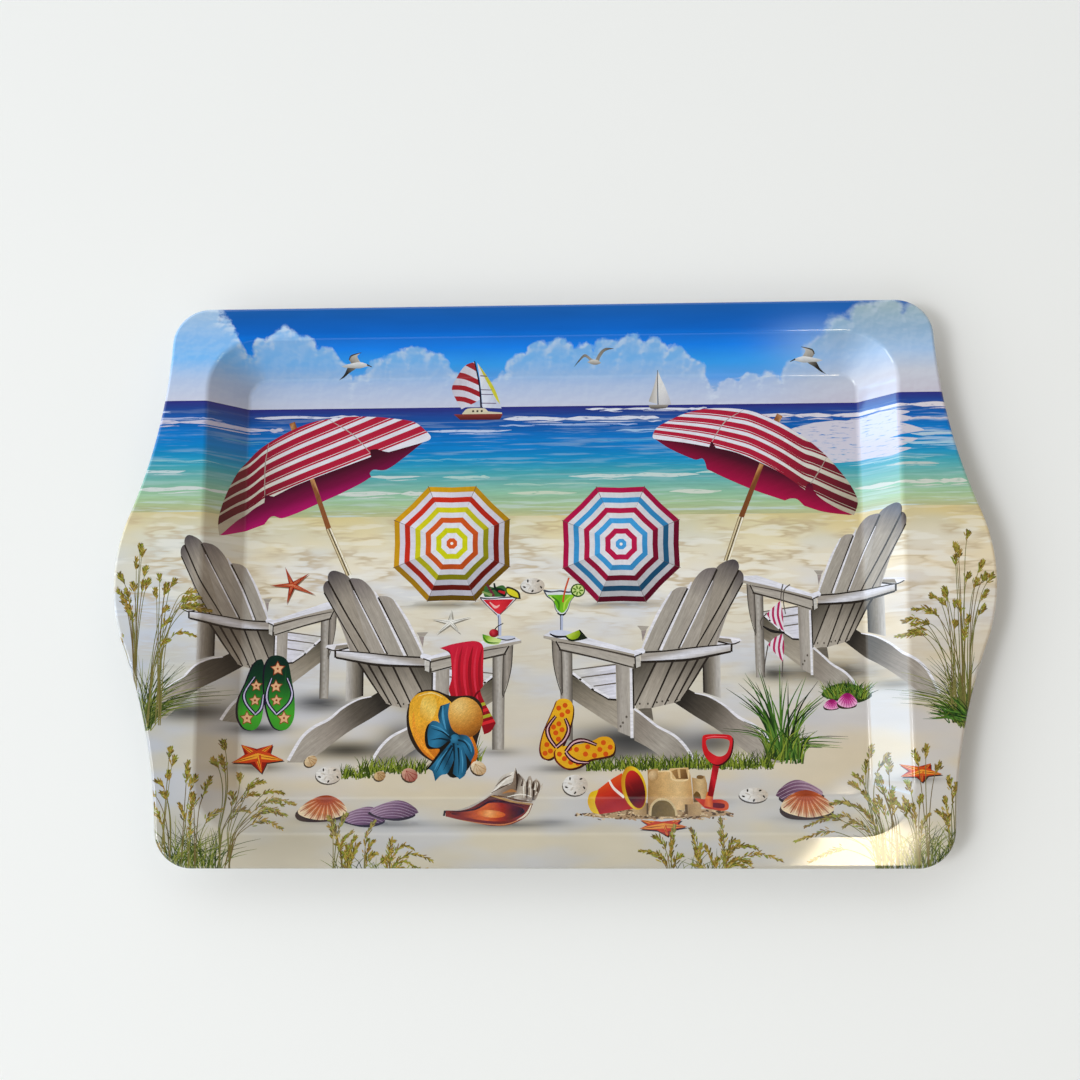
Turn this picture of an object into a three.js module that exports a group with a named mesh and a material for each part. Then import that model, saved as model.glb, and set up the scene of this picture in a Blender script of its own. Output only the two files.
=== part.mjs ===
// A printed tinplate serving tray: one pressed steel sheet with a flat well, a sloped side wall, a flat
// flange that swells into a lifting ear at each end, and a hollow safety curl rolled under along the whole
// edge. A thin film of litho ink and gloss varnish covers its upper face and goes over the curl.
// Millimetres. +X runs along the long side, +Y towards the sky of the printed scene and +Z up. The origin is
// the centre of the underside of the well's floor.
import * as THREE from "three";

// Driving dimensions of the tray.
const TRAY_LENGTH = 390; // along X, over the two ears
const TRAY_WIDTH = 251; // along Y
const WELL_DEPTH = 16.5; // from the flange's face down to the floor's face
const SHEET = 0.3; // tinplate gauge
const FILM = 0.08; // ink and varnish, thicker than life so that it is a sound solid

// The well: where the flat floor and the flat flange would meet the wall with no bends between them.
const FLOOR_LENGTH = 281;
const FLOOR_WIDTH = 192;
const FLOOR_CORNER_RADIUS = 8.5;
const WALL_RUN = 15; // the wall's width in plan
const BEND_RADIUS = 3; // inside radius of both bends

// The outer edge: a tight corner, a long hollow flank and a bulging ear, each tangent to the next.
const CORNER_RADIUS = 17;
const FLANK_RADIUS = 247;
const EAR_RADIUS = 80;
const CORNER_LEAN = THREE.MathUtils.degToRad(2.5); // how far the flank leans where it leaves the corner
const CURL_RADIUS = 1.6; // outside radius of the rolled edge

// How finely the curves are faceted.
const CORNER_STEPS = 6;
const FLANK_STEPS = 5;
const EAR_STEPS = 4;
const BEND_STEPS = 4;
const CURL_STEPS = 3; // over the curl, from the flange to its widest line
const TUCK_STEPS = 6; // under it, from there to the sheet's edge

const COLOURS = { tin: 0xb9bcc0, print: 0xd8cbb2 };

const RIM_Z = SHEET + WELL_DEPTH; // the flange's upper face
const WALL_ANGLE = Math.atan2(WELL_DEPTH, WALL_RUN);
const QUARTER_TURN = Math.PI / 2;
const CURL_END = THREE.MathUtils.degToRad(-205); // where the rolled edge stops, just short of the flange

// Points along an arc about (x, y), as plain Vector2s.
function arc(x, y, radius, from, to, steps) {
  const clockwise = to < from;
  return new THREE.EllipseCurve(x, y, radius, radius, from, to, clockwise).getPoints(steps);
}

// A whole ring from the points of its +X +Y quarter, which run from the +X axis to the +Y axis.
function mirrored(quarter) {
  const flip = (points, sx, sy) => points.map((p) => new THREE.Vector2(p.x * sx, p.y * sy));
  const second = flip([...quarter].reverse(), -1, 1);
  const third = flip(quarter, -1, -1);
  const fourth = flip([...quarter].reverse(), 1, -1);
  return [quarter, second, third, fourth].flatMap((part) => part.slice(0, -1));
}

// The well's outline at `out` millimetres outside the floor's edge: a rectangle with round corners.
function wellRing(out) {
  const radius = FLOOR_CORNER_RADIUS + out;
  const cornerX = FLOOR_LENGTH / 2 - FLOOR_CORNER_RADIUS;
  const cornerY = FLOOR_WIDTH / 2 - FLOOR_CORNER_RADIUS;
  const sideSteps = EAR_STEPS + FLANK_STEPS;
  const side = [];
  for (let i = 0; i < sideSteps; i++) side.push(new THREE.Vector2(cornerX + radius, (cornerY * i) / sideSteps));
  const corner = arc(cornerX, cornerY, radius, 0, QUARTER_TURN, CORNER_STEPS);
  return mirrored([...side, ...corner, new THREE.Vector2(0, cornerY + radius)]);
}

// The tray's outer outline at `inset` millimetres inside its silhouette: three tangent arcs to a quarter.
function edgeRing(inset) {
  const earX = TRAY_LENGTH / 2 - EAR_RADIUS;
  const rise = TRAY_WIDTH / 2 - CORNER_RADIUS + (FLANK_RADIUS + CORNER_RADIUS) * Math.sin(CORNER_LEAN);
  const earSweep = Math.asin(rise / (EAR_RADIUS + FLANK_RADIUS));
  const flankX = earX + (EAR_RADIUS + FLANK_RADIUS) * Math.cos(earSweep);
  const flankY = (EAR_RADIUS + FLANK_RADIUS) * Math.sin(earSweep);
  const cornerX = flankX - (FLANK_RADIUS + CORNER_RADIUS) * Math.cos(CORNER_LEAN);
  const cornerY = TRAY_WIDTH / 2 - CORNER_RADIUS;
  const ear = arc(earX, 0, EAR_RADIUS - inset, 0, earSweep, EAR_STEPS);
  const flank = arc(flankX, flankY, FLANK_RADIUS + inset, Math.PI + earSweep, Math.PI + CORNER_LEAN, FLANK_STEPS);
  const corner = arc(cornerX, cornerY, CORNER_RADIUS - inset, CORNER_LEAN, QUARTER_TURN, CORNER_STEPS);
  return mirrored([...ear, ...flank.slice(1), ...corner.slice(1), new THREE.Vector2(0, TRAY_WIDTH / 2 - inset)]);
}

// The rings of a face of the sheet that lies `lift` millimetres above the tinplate's upper face, from the
// floor's edge out to the curl's widest line, or on round under it to the sheet's edge if it is tucked.
// A negative lift is below that face.
function faceRings(lift, tucked) {
  const rings = [];
  const add = (points, z) => rings.push(points.map((p) => new THREE.Vector3(p.x, p.y, z)));
  const setback = BEND_RADIUS * Math.tan(WALL_ANGLE / 2);
  const footRadius = BEND_RADIUS - lift;
  for (let i = 0; i <= BEND_STEPS; i++) {
    const turn = (WALL_ANGLE * i) / BEND_STEPS;
    const out = -setback + footRadius * Math.sin(turn);
    add(wellRing(out), SHEET + BEND_RADIUS - footRadius * Math.cos(turn));
  }
  const shoulderRadius = BEND_RADIUS + lift;
  for (let i = 0; i <= BEND_STEPS; i++) {
    const turn = WALL_ANGLE * (1 - i / BEND_STEPS);
    const out = WALL_RUN + setback - shoulderRadius * Math.sin(turn);
    add(wellRing(out), RIM_Z - BEND_RADIUS + shoulderRadius * Math.cos(turn));
  }
  const curlRadius = CURL_RADIUS + lift;
  const curlTurns = [];
  for (let i = 0; i <= CURL_STEPS; i++) curlTurns.push(QUARTER_TURN * (1 - i / CURL_STEPS));
  for (let i = 1; tucked && i <= TUCK_STEPS; i++) curlTurns.push((CURL_END * i) / TUCK_STEPS);
  for (const turn of curlTurns) {
    const inset = CURL_RADIUS - curlRadius * Math.cos(turn);
    add(edgeRing(inset), RIM_Z - CURL_RADIUS + curlRadius * Math.sin(turn));
  }
  return rings;
}

// One closed solid between two faces of rings, with the floor filled on both.
function shell(upper, lower) {
  const rings = [...upper, ...[...lower].reverse()];
  const count = rings[0].length;
  const positions = rings.flat().flatMap((p) => [p.x, p.y, p.z]);
  const index = [];
  for (let r = 0; r + 1 < rings.length; r++) {
    for (let i = 0; i < count; i++) {
      const next = (i + 1) % count;
      const [a, b, c, d] = [r * count + i, r * count + next, (r + 1) * count + i, (r + 1) * count + next];
      index.push(a, c, b, b, c, d);
    }
  }
  const upperCentre = positions.length / 3;
  positions.push(0, 0, upper[0][0].z);
  const lowerCentre = upperCentre + 1;
  positions.push(0, 0, lower[0][0].z);
  const last = (rings.length - 1) * count;
  for (let i = 0; i < count; i++) {
    const next = (i + 1) % count;
    index.push(upperCentre, i, next);
    index.push(lowerCentre, last + next, last + i);
  }
  const geometry = new THREE.BufferGeometry();
  geometry.setAttribute("position", new THREE.Float32BufferAttribute(positions, 3));
  geometry.setIndex(index);
  geometry.computeVertexNormals();
  return geometry;
}

function piece(name, geometry, color, roughness, metalness) {
  const mesh = new THREE.Mesh(geometry, new THREE.MeshStandardMaterial({ color, roughness, metalness }));
  mesh.name = name;
  return mesh;
}

// The pressed sheet: floor, wall, flange and curl are one piece of tinplate.
function trayPan() {
  const geometry = shell(faceRings(0, true), faceRings(-SHEET, true));
  return piece("tray_pan", geometry, COLOURS.tin, 0.35, 0.9);
}

// The decoration: it ends on the widest line of the curl, where the printed sheet turns under.
function printFilm() {
  const geometry = shell(faceRings(FILM, false), faceRings(0, false));
  return piece("print_film", geometry, COLOURS.print, 0.12, 0);
}

const tray = new THREE.Group();
tray.name = "serving_tray";
tray.add(trayPan(), printFilm());

export default tray;
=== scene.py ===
"""A printed tinplate serving tray: a fine pressed shell, and the beach scene printed on it.

The scene is cut into pieces that lie side by side on the tinplate with no overlaps, as ink does."""
import math
import random

import bpy
import numpy as np
from mathutils import Matrix, Vector
from mathutils.geometry import delaunay_2d_cdt


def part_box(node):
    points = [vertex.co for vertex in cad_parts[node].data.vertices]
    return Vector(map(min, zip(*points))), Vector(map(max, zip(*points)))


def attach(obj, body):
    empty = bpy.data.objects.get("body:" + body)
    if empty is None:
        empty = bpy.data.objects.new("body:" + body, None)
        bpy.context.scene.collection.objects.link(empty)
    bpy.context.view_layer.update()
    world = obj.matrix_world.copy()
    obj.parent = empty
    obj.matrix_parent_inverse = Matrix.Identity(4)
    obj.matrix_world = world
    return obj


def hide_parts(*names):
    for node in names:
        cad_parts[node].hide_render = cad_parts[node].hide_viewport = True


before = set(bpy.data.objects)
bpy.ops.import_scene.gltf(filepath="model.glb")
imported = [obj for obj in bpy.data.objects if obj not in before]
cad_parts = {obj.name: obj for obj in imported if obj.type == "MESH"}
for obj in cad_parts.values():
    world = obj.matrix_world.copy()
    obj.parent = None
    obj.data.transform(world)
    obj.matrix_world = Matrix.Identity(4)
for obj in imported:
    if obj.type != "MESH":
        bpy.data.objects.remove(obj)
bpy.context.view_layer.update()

# -------------------------------------------------------------------------------------------------
# The tray's shape, in millimetres, with the frame's axes and origin
# -------------------------------------------------------------------------------------------------
PER_METRE = 1000
PAN_LOW, PAN_HIGH = (np.array(corner) * PER_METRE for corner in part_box("tray_pan"))
TRAY_LENGTH, TRAY_WIDTH, RIM_Z = PAN_HIGH - PAN_LOW
SHEET = 0.3  # tinplate gauge
INK_LIFT = 0.05  # the print's height above the tinplate

FLOOR_LENGTH = 281
FLOOR_WIDTH = 192
FLOOR_CORNER_RADIUS = 8.5
WALL_RUN = 15
BEND_RADIUS = 3
CORNER_RADIUS = 17
FLANK_RADIUS = 247
EAR_RADIUS = 80
CORNER_LEAN = math.radians(2.5)
CURL_RADIUS = 1.6
CURL_END = math.radians(-205)

WALL_ANGLE = math.atan2(RIM_Z - SHEET, WALL_RUN)
# From a bend's start to where its two faces would meet without it.
SETBACK = BEND_RADIUS * math.tan(WALL_ANGLE / 2)

# Centres of the edge's three arcs, in the +X +Y quarter.
EAR_X = TRAY_LENGTH / 2 - EAR_RADIUS
CORNER_Y = TRAY_WIDTH / 2 - CORNER_RADIUS
FLANK_Y = CORNER_Y + (FLANK_RADIUS + CORNER_RADIUS) * math.sin(CORNER_LEAN)
EAR_SWEEP = math.asin(FLANK_Y / (EAR_RADIUS + FLANK_RADIUS))
FLANK_X = EAR_X + (EAR_RADIUS + FLANK_RADIUS) * math.cos(EAR_SWEEP)
CORNER_X = FLANK_X - (FLANK_RADIUS + CORNER_RADIUS) * math.cos(CORNER_LEAN)

# Steps along each stretch of a quarter of a ring. The well's rings and the edge's have the same
# number of points, so that quads can join them.
ARC_STEPS = 25  # along the ear and along the flank, which face the well's one straight side
CORNER_STEPS = 14
LONG_STEPS = 30  # along half of a long side


def arc(x, y, radius, start, end, steps):
    """Points along an arc, both ends included."""
    turn = np.linspace(start, end, steps + 1)
    return np.stack([x + radius * np.cos(turn), y + radius * np.sin(turn)], 1)


def mirrored(quarter):
    """A whole ring from its +X +Y quarter, whose points run from the +X axis to the +Y axis."""
    back = quarter[::-1]
    ring = [quarter[:-1], (back * (-1, 1))[:-1], (quarter * (-1, -1))[:-1], (back * (1, -1))[:-1]]
    return np.concatenate(ring)


def long_side(corner_x, y):
    """Points along half of a long side, from its corner to the middle, without the first."""
    return np.stack([np.linspace(corner_x, 0, LONG_STEPS + 1)[1:], np.full(LONG_STEPS, y)], 1)


def well_ring(out):
    """The well's outline at `out` outside the floor's edge."""
    corner_x = FLOOR_LENGTH / 2 - FLOOR_CORNER_RADIUS
    corner_y = FLOOR_WIDTH / 2 - FLOOR_CORNER_RADIUS
    radius = FLOOR_CORNER_RADIUS + out
    side_y = np.linspace(0, corner_y, 2 * ARC_STEPS + 1)[:-1]
    side = np.stack([np.full(2 * ARC_STEPS, corner_x + radius), side_y], 1)
    corner = arc(corner_x, corner_y, radius, 0, math.pi / 2, CORNER_STEPS)
    return mirrored(np.concatenate([side, corner, long_side(corner_x, corner_y + radius)]))


def edge_ring(inset):
    """The tray's outer outline at `inset` inside its silhouette."""
    ear = arc(EAR_X, 0, EAR_RADIUS - inset, 0, EAR_SWEEP, ARC_STEPS)
    start, end = math.pi + EAR_SWEEP, math.pi + CORNER_LEAN
    flank = arc(FLANK_X, FLANK_Y, FLANK_RADIUS + inset, start, end, ARC_STEPS)
    turn = CORNER_LEAN, math.pi / 2
    corner = arc(CORNER_X, CORNER_Y, CORNER_RADIUS - inset, *turn, CORNER_STEPS)
    top = long_side(CORNER_X, TRAY_WIDTH / 2 - inset)
    return mirrored(np.concatenate([ear, flank[1:], corner[1:], top]))


def well_distance(x, y):
    """How far each point is outside the floor's edge, and the direction that leads straight out."""
    qx = np.abs(x) - (FLOOR_LENGTH / 2 - FLOOR_CORNER_RADIUS)
    qy = np.abs(y) - (FLOOR_WIDTH / 2 - FLOOR_CORNER_RADIUS)
    rx, ry = np.maximum(qx, 0), np.maximum(qy, 0)
    run = np.hypot(rx, ry)
    inside = run < 1e-9
    out = np.where(inside, np.maximum(qx, qy), run) - FLOOR_CORNER_RADIUS
    dx = np.where(inside, 0, rx / np.maximum(run, 1e-9)) * np.sign(x)
    dy = np.where(inside, 0, ry / np.maximum(run, 1e-9)) * np.sign(y)
    return out, dx, dy


def edge_distance(x, y):
    """How far each point is inside the silhouette, and the direction that leads straight out."""
    ax, ay = np.abs(x), np.abs(y)
    inset, dx, dy = TRAY_WIDTH / 2 - ay, np.zeros_like(ax), np.ones_like(ax)
    past_corner = (ax > CORNER_X) & (ay - CORNER_Y >= (ax - CORNER_X) * math.tan(CORNER_LEAN))
    low = (ax > CORNER_X) & ~past_corner
    on_ear = low & (np.arctan2(ay, ax - EAR_X) < EAR_SWEEP)
    for where, cx, cy, radius, sign in [
        (past_corner, CORNER_X, CORNER_Y, CORNER_RADIUS, 1),
        (low & ~on_ear, FLANK_X, FLANK_Y, FLANK_RADIUS, -1),
        (on_ear, EAR_X, 0, EAR_RADIUS, 1),
    ]:
        run = np.maximum(np.hypot(ax - cx, ay - cy), 1e-9)
        inset = np.where(where, sign * (radius - run), inset)
        dx = np.where(where, sign * (ax - cx) / run, dx)
        dy = np.where(where, sign * (ay - cy) / run, dy)
    return inset, dx * np.sign(x), dy * np.sign(y)


def surface(x, y):
    """The tinplate's upper face over each plan point: its height and its normal."""
    out, dx, dy = well_distance(x, y)
    foot_end = BEND_RADIUS * math.sin(WALL_ANGLE) - SETBACK
    shoulder_start = WALL_RUN - foot_end
    foot = np.arcsin(np.clip((out + SETBACK) / BEND_RADIUS, 0, 1))
    shoulder = np.arcsin(np.clip((WALL_RUN + SETBACK - out) / BEND_RADIUS, 0, 1))
    bands = [out < -SETBACK, out < foot_end, out < shoulder_start, out < WALL_RUN + SETBACK]
    z = np.select(bands, [
        SHEET + 0 * out,
        SHEET + BEND_RADIUS * (1 - np.cos(foot)),
        SHEET + out * math.tan(WALL_ANGLE),
        RIM_Z - BEND_RADIUS * (1 - np.cos(shoulder)),
    ], RIM_Z)
    slope = np.select(bands, [0 * out, foot, WALL_ANGLE + 0 * out, shoulder], 0)
    nx, ny, nz = -dx * np.sin(slope), -dy * np.sin(slope), np.cos(slope)
    inset, ex, ey = edge_distance(x, y)
    fall = np.arcsin(np.clip((CURL_RADIUS - inset) / CURL_RADIUS, 0, 1))
    curled = inset < CURL_RADIUS
    z = np.where(curled, RIM_Z - CURL_RADIUS * (1 - np.cos(fall)), z)
    nx = np.where(curled, ex * np.sin(fall), nx)
    ny = np.where(curled, ey * np.sin(fall), ny)
    nz = np.where(curled, np.cos(fall), nz)
    return z, np.stack([nx, ny, nz], 1)


# -------------------------------------------------------------------------------------------------
# Inks: each is a function from plan points to linear colours
# -------------------------------------------------------------------------------------------------
def rgb(code):
    """A hex colour as linear light, by the sRGB curve."""
    srgb = np.array([int(code[i : i + 2], 16) / 255 for i in (0, 2, 4)])
    return np.where(srgb <= 0.04045, srgb / 12.92, ((srgb + 0.055) / 1.055) ** 2.4)


def stops(t, colours):
    """The colour at t, from 0 to 1, along evenly spaced hex colours."""
    table = np.array([rgb(code) for code in colours])
    place = np.linspace(0, 1, len(table))
    return np.stack([np.interp(t, place, table[:, i]) for i in range(3)], -1)


def flat(code):
    """One even colour."""
    return lambda x, y: np.broadcast_to(rgb(code), np.shape(x) + (3,))


def fade(start, end, *colours):
    """Even stops along the line from start to end."""
    (x0, y0), (x1, y1) = start, end
    span = (x1 - x0) ** 2 + (y1 - y0) ** 2
    return lambda x, y: stops(((x - x0) * (x1 - x0) + (y - y0) * (y1 - y0)) / span, colours)


def glow(centre, radius, *colours):
    """Even stops from a centre out to a radius."""
    return lambda x, y: stops(np.hypot(x - centre[0], y - centre[1]) / radius, colours)


def ease(t):
    """A smooth step from 0 to 1."""
    t = np.clip(t, 0, 1)
    return t * t * (3 - 2 * t)


def blend(first, second, share):
    """Two colours, with so much of the second at each point."""
    share = share[..., None]
    return first * (1 - share) + second * share


# -------------------------------------------------------------------------------------------------
# Drawing: motifs put marks on the sheet, and a later mark covers an earlier one
# -------------------------------------------------------------------------------------------------
SHARP = True  # as a point's third value: a corner, not a place on a curve
MARKS = []


def eased(slope, chord):
    """The slope, no longer than a little over the chord, so that a short span doesn't overshoot."""
    return slope * min(1, 1.25 * math.hypot(*chord) / max(math.hypot(*slope), 1e-9))


def spline(points, closed, steps=4):
    """A smooth line through the points, with straight-ended spans where a point is sharp."""
    at = [np.array(point[:2], float) for point in points]
    sharp = [len(point) > 2 for point in points]
    count = len(at)
    result = []
    for i in range(count if closed else count - 1):
        j = (i + 1) % count
        chord = at[j] - at[i]
        before = at[i - 1] if closed or i else at[i]
        after = at[(j + 1) % count] if closed or j + 1 < count else at[j]
        leave = chord if sharp[i] else eased((at[j] - before) / 2, chord)
        arrive = chord if sharp[j] else eased((after - at[i]) / 2, chord)
        for k in range(1 if sharp[i] and sharp[j] else steps):
            t = k / steps
            a, b = 2 * t**3 - 3 * t**2 + 1, t**3 - 2 * t**2 + t
            c, d = 3 * t**2 - 2 * t**3, t**3 - t**2
            result.append(a * at[i] + b * leave + c * at[j] + d * arrive)
    if not closed:
        result.append(at[-1])
    return np.array(result)


def cornered(*points):
    """Points that are all sharp."""
    return [(x, y, SHARP) for x, y in points]


def shifted(points, right, up):
    """The same points, moved to the right and up."""
    return [(x + right, y + up) for x, y in points]


def oval(x, y, rx, ry, turn=0, count=20):
    """An ellipse's points, turned by degrees."""
    a = np.linspace(0, math.tau, count, endpoint=False)
    c, s = math.cos(math.radians(turn)), math.sin(math.radians(turn))
    u, v = rx * np.cos(a), ry * np.sin(a)
    return np.stack([x + u * c - v * s, y + u * s + v * c], 1)


def ribbon(path, widths, smooth=True, steps=4):
    """The outline of a stroke of varying width along a path."""
    line = spline(path, False, steps) if smooth else np.array(path, float)
    step = np.gradient(line, axis=0)
    step /= np.maximum(np.hypot(step[:, 0], step[:, 1]), 1e-9)[:, None]
    side = np.stack([-step[:, 1], step[:, 0]], 1)
    widths = np.atleast_1d(widths).astype(float)
    half = np.interp(np.linspace(0, 1, len(line)), np.linspace(0, 1, len(widths)), widths) / 2
    return np.concatenate([line + side * half[:, None], (line - side * half[:, None])[::-1]])


class Mark:
    """One inked outline on the sheet."""

    def __init__(self, motif, outline, ink, angle, inside):
        self.motif, self.ink, self.inside = motif, ink, inside
        self.outline = outline
        self.turn = math.radians(angle)
        self.index = len(MARKS)
        MARKS.append(self)

    def colours(self, x, y):
        """The ink's colours at plan points; the ink is laid out in the motif's own frame."""
        (sx, sy), (ox, oy) = self.motif.size, self.motif.at
        return self.ink((x - ox) / sx, (y - oy) / sy)

    def grain(self, x, y):
        """Coordinates along and across the grain, and a number that differs from mark to mark."""
        (sx, _), (ox, oy) = self.motif.size, self.motif.at
        c, s = math.cos(self.turn), math.sin(self.turn)
        u, v = (x - ox) * math.copysign(1, sx), y - oy
        if self.motif.density:
            third = self.motif.density(x, y)
        else:
            third = np.full(np.shape(x), self.index * 7.3 % 50)
        return np.stack([u * c + v * s, v * c - u * s, third], -1)


class Motif:
    """A printed picture element: it becomes one piece, with one kind of grain in its ink."""

    def __init__(self, name, kind, at=(0, 0), size=(1, 1), density=None, under=None):
        self.name, self.kind, self.at, self.size = name, kind, at, size
        self.density = density  # a number that the grain varies with, such as how cloudy a place is
        self.under = under  # the ink that shows through where this one breaks up

    def put(self, outline, ink, angle, inside):
        """A mark whose grain runs at an angle, cut off where it leaves the mark `inside`."""
        ink = flat(ink) if isinstance(ink, str) else ink
        return Mark(self, np.asarray(outline) * self.size + self.at, ink, angle, inside)

    def fill(self, points, ink, angle=0, inside=None):
        """A closed outline through the points."""
        return self.put(spline(points, True), ink, angle, inside)

    def patch(self, points, ink, angle=0, inside=None):
        """A polygon or an outline that is already worked out."""
        return self.put(points, ink, angle, inside)

    def line(self, path, widths, ink, angle=0, inside=None, smooth=True):
        """A stroke along a path."""
        return self.put(ribbon(path, widths, smooth), ink, angle, inside)


# -------------------------------------------------------------------------------------------------
# The printed scene, in millimetres over the sheet
# -------------------------------------------------------------------------------------------------
HORIZON = 82.3
SHORE = 31
# The sky's blues from the horizon up. The pale lilac-grey stops over the well's floor and the dull
# blues over the flange are partly the printed sky and partly painted reflection, the varnish's haze
# on the flat parts.
SKY_WITH_REFLECTED_HAZE = ["c0c8de", "a4c0e6", "68abf6", "34a8ff", "008aff", "0866ca", "1060ba", "1c60ae"]
PALE_SKY = (0.42, 0.66, 0.95)  # as linear light
LEFT_CLOUDS = ["ced2e6", "b8ccee", "7cc0fe", "8cc0f6", "a4c6ea"]
RIGHT_CLOUDS = ["ccc6d4", "cdd0de", "a8c8ee", "96b6d4", "a2bac6"]
CLOUD_HEIGHT = 40  # from the horizon to the last of the clouds' colours
SEA = [
    "bcbc8e", "a8c498", "90bfa2", "70b2ac", "44a4b4", "1890c4", "0a80c8", "0a78c8", "0e60b2",
    "1e4e9e", "302e7e",
]
SAND = [
    "c4c1ba", "c8c4bb", "d0cabe", "d2ccc2", "d0cbc3", "cfccc9", "d1d0ce", "d4d2ce", "dcdad6",
    "e2e0da", "e6e3dc", "e6e1cc", "d6cda0",
]

# Tops of the clouds: x, y, radius.
PUFFS = [
    (-187, 118, 13), (-174, 123, 13), (-161, 120, 12), (-153, 111, 11), (-147, 106, 8),
    (-190, 104, 20), (-121, 109, 7.5), (-130, 105, 7), (-112, 106, 6.5), (-103, 103, 5.5),
    (-138, 99, 6), (-98, 99, 4.5), (-80, 97, 6), (-70, 100, 7), (-61, 101, 7), (-53, 99, 7),
    (-45, 93, 6), (-88, 92, 6), (-14, 98, 7), (-5, 102, 7), (5, 103, 7.5), (15, 101, 7),
    (26, 103, 7), (37, 104, 7.5), (47, 103, 7), (57, 100, 7), (66, 96, 6), (-22, 92, 6),
    (82, 89, 6), (92, 91, 6), (101, 92, 6), (112, 96, 6), (122, 103, 8), (131, 111, 9),
    (142, 117, 9), (153, 119, 9), (165, 116, 10), (177, 114, 12), (188, 108, 14), (141, 88, 25),
    (166, 94, 30), (192, 88, 28), (-176, 96, 26),
]

# Soft shadows on the sand: x, y, half width, half height, depth.
SHADOWS = [
    (-46, -9.8, 22, 1.6, 0.5), (30, -10, 24, 1.6, 0.5), (-92, -75, 22, 4.2, 0.74),
    (-66, -72, 11, 9, 0.82), (-104, -54, 15, 4.4, 0.7), (-24, -76, 11, 2, 0.35),
    (-56, -52, 16, 8, 0.45), (-158, -58, 20, 4.6, 0.7), (-132, -65.5, 14, 2.4, 0.75),
    (-133, -50, 9, 12, 0.4), (34, -70, 26, 6.4, 0.74), (38, -75, 30, 5, 0.5),
    (20, -78, 14, 2.4, 0.5), (72, -72, 14, 5.4, 0.55), (124, -41, 21, 4.6, 0.8),
    (100, -41.5, 9, 3.4, 0.7), (150, -47, 10, 2.4, 0.45), (-132, -82.6, 14, 2.2, 0.5),
    (-96, -105, 15, 1.5, 0.45), (-70, -106.8, 18, 1.4, 0.45), (-20, -107.2, 24, 1.7, 0.55),
    (0, -106, 9, 1.4, 0.3), (6, -83.4, 14, 2.0, 0.55), (112, -104.8, 13, 1.4, 0.45),
    (158, -88, 9, 1.4, 0.4), (68, -98, 12, 1.6, 0.2), (-122, -112, 36, 12, 0.16),
]


def sky_ink(x, y):
    """Blue that deepens upwards, with a pale glow before the clouds on the right; its pale foot and
    dull top are partly painted reflection.
    """
    blue = stops((y - HORIZON) / (TRAY_WIDTH / 2 - HORIZON), SKY_WITH_REFLECTED_HAZE)
    pale = 0.5 * np.exp(-(((x - 122) / 20) ** 2) - ((y - 106) / 9) ** 2)
    return blend(blue, np.array(PALE_SKY), pale)


def cloud_cover(x, y):
    """How deep each point is inside the clouds, which reach from their tops down to the horizon."""
    cover = np.full(np.shape(x), -1.0)
    for px, py, radius in PUFFS:
        below = np.maximum(py - y, 0)
        rise = np.maximum(y - py, 0) + 0.1 * below
        cover = np.maximum(cover, 1 - np.hypot(x - px, rise) / (radius + 0.45 * below))
    return cover


def cloud_ink(x, y):
    """The clouds' own colour: azure on the left, greyer on the far right and lilac at the foot."""
    height = (y - HORIZON) / CLOUD_HEIGHT
    return blend(stops(height, LEFT_CLOUDS), stops(height, RIGHT_CLOUDS), ease((x - 84) / 60))


def sea_ink(x, y):
    """Bands of green and blue, from the shore out to the horizon."""
    return stops((y - SHORE) / (HORIZON - SHORE), SEA)


def foaminess(x, y):
    """How much foam the waves carry: most by the shore and on the right."""
    clear = ease((80 - y) / 5)
    surf_right = ease((x - 60) / 60) * ease((y - 50) / 10)
    return clear * (0.25 + 0.6 * ease((44 - y) / 16) + 0.5 * surf_right)


def ripple_depth(x, y):
    """How strong the wind's ripples in the sand are: most behind the chairs."""
    behind = ease((34 - y) / 8) * ease((y + 26) / 30)
    before = 0.3 * ease((y + 70) / 40) * ease((20 - y) / 30)
    return behind + before


SHADOW_SPREAD = 1.3  # how fast a shadow fades outwards
SHADOW_WEIGHT = 1.6


def shade(x, y):
    """The share of light left by the soft shadows."""
    light = np.ones(np.shape(x))
    for sx, sy, rx, ry, depth in SHADOWS:
        away = ((x - sx) / rx) ** 2 + ((y - sy) / ry) ** 2
        light *= 1 - depth * np.exp(-SHADOW_SPREAD * away)
    return light


def sand_ink(x, y):
    """Pale sand, warmer on the right and cooler on the far left, under the soft shadows."""
    colours = stops((y + TRAY_WIDTH / 2) / (SHORE + TRAY_WIDTH / 2), SAND)
    warm = ease((x - 90) / 60) * ease((y + 110) / 50)
    cool = ease((-140 - x) / 30) * ease((30 - y) / 20)
    tint = 1 - warm[..., None] * (0.02, 0.08, 0.16) - cool[..., None] * (0.16, 0.1, 0.0)
    return colours * tint * shade(x, y)[..., None] ** SHADOW_WEIGHT


def backdrop():
    """The sky, the sea and the sand: three sheets that every other mark lies on."""
    sky = Motif("printed_sky", "sky", density=cloud_cover, under=cloud_ink)
    sea = Motif("printed_sea", "sea", density=foaminess)
    sand = Motif("printed_sand", "sand", density=ripple_depth)
    half_x, half_y = TRAY_LENGTH / 2 + 2, TRAY_WIDTH / 2 + 2
    for motif, low, high, ink in [
        (sky, HORIZON, half_y, sky_ink), (sea, SHORE, HORIZON, sea_ink),
        (sand, -half_y, SHORE, sand_ink),
    ]:
        motif.patch([(-half_x, low), (half_x, low), (half_x, high), (-half_x, high)], ink)


LINE = "2a231e"  # the dark line between boards
GLINT = "e6e3ea"
TIMBER = ["5c5452", "a79e95", "b8b0a6"]


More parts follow.
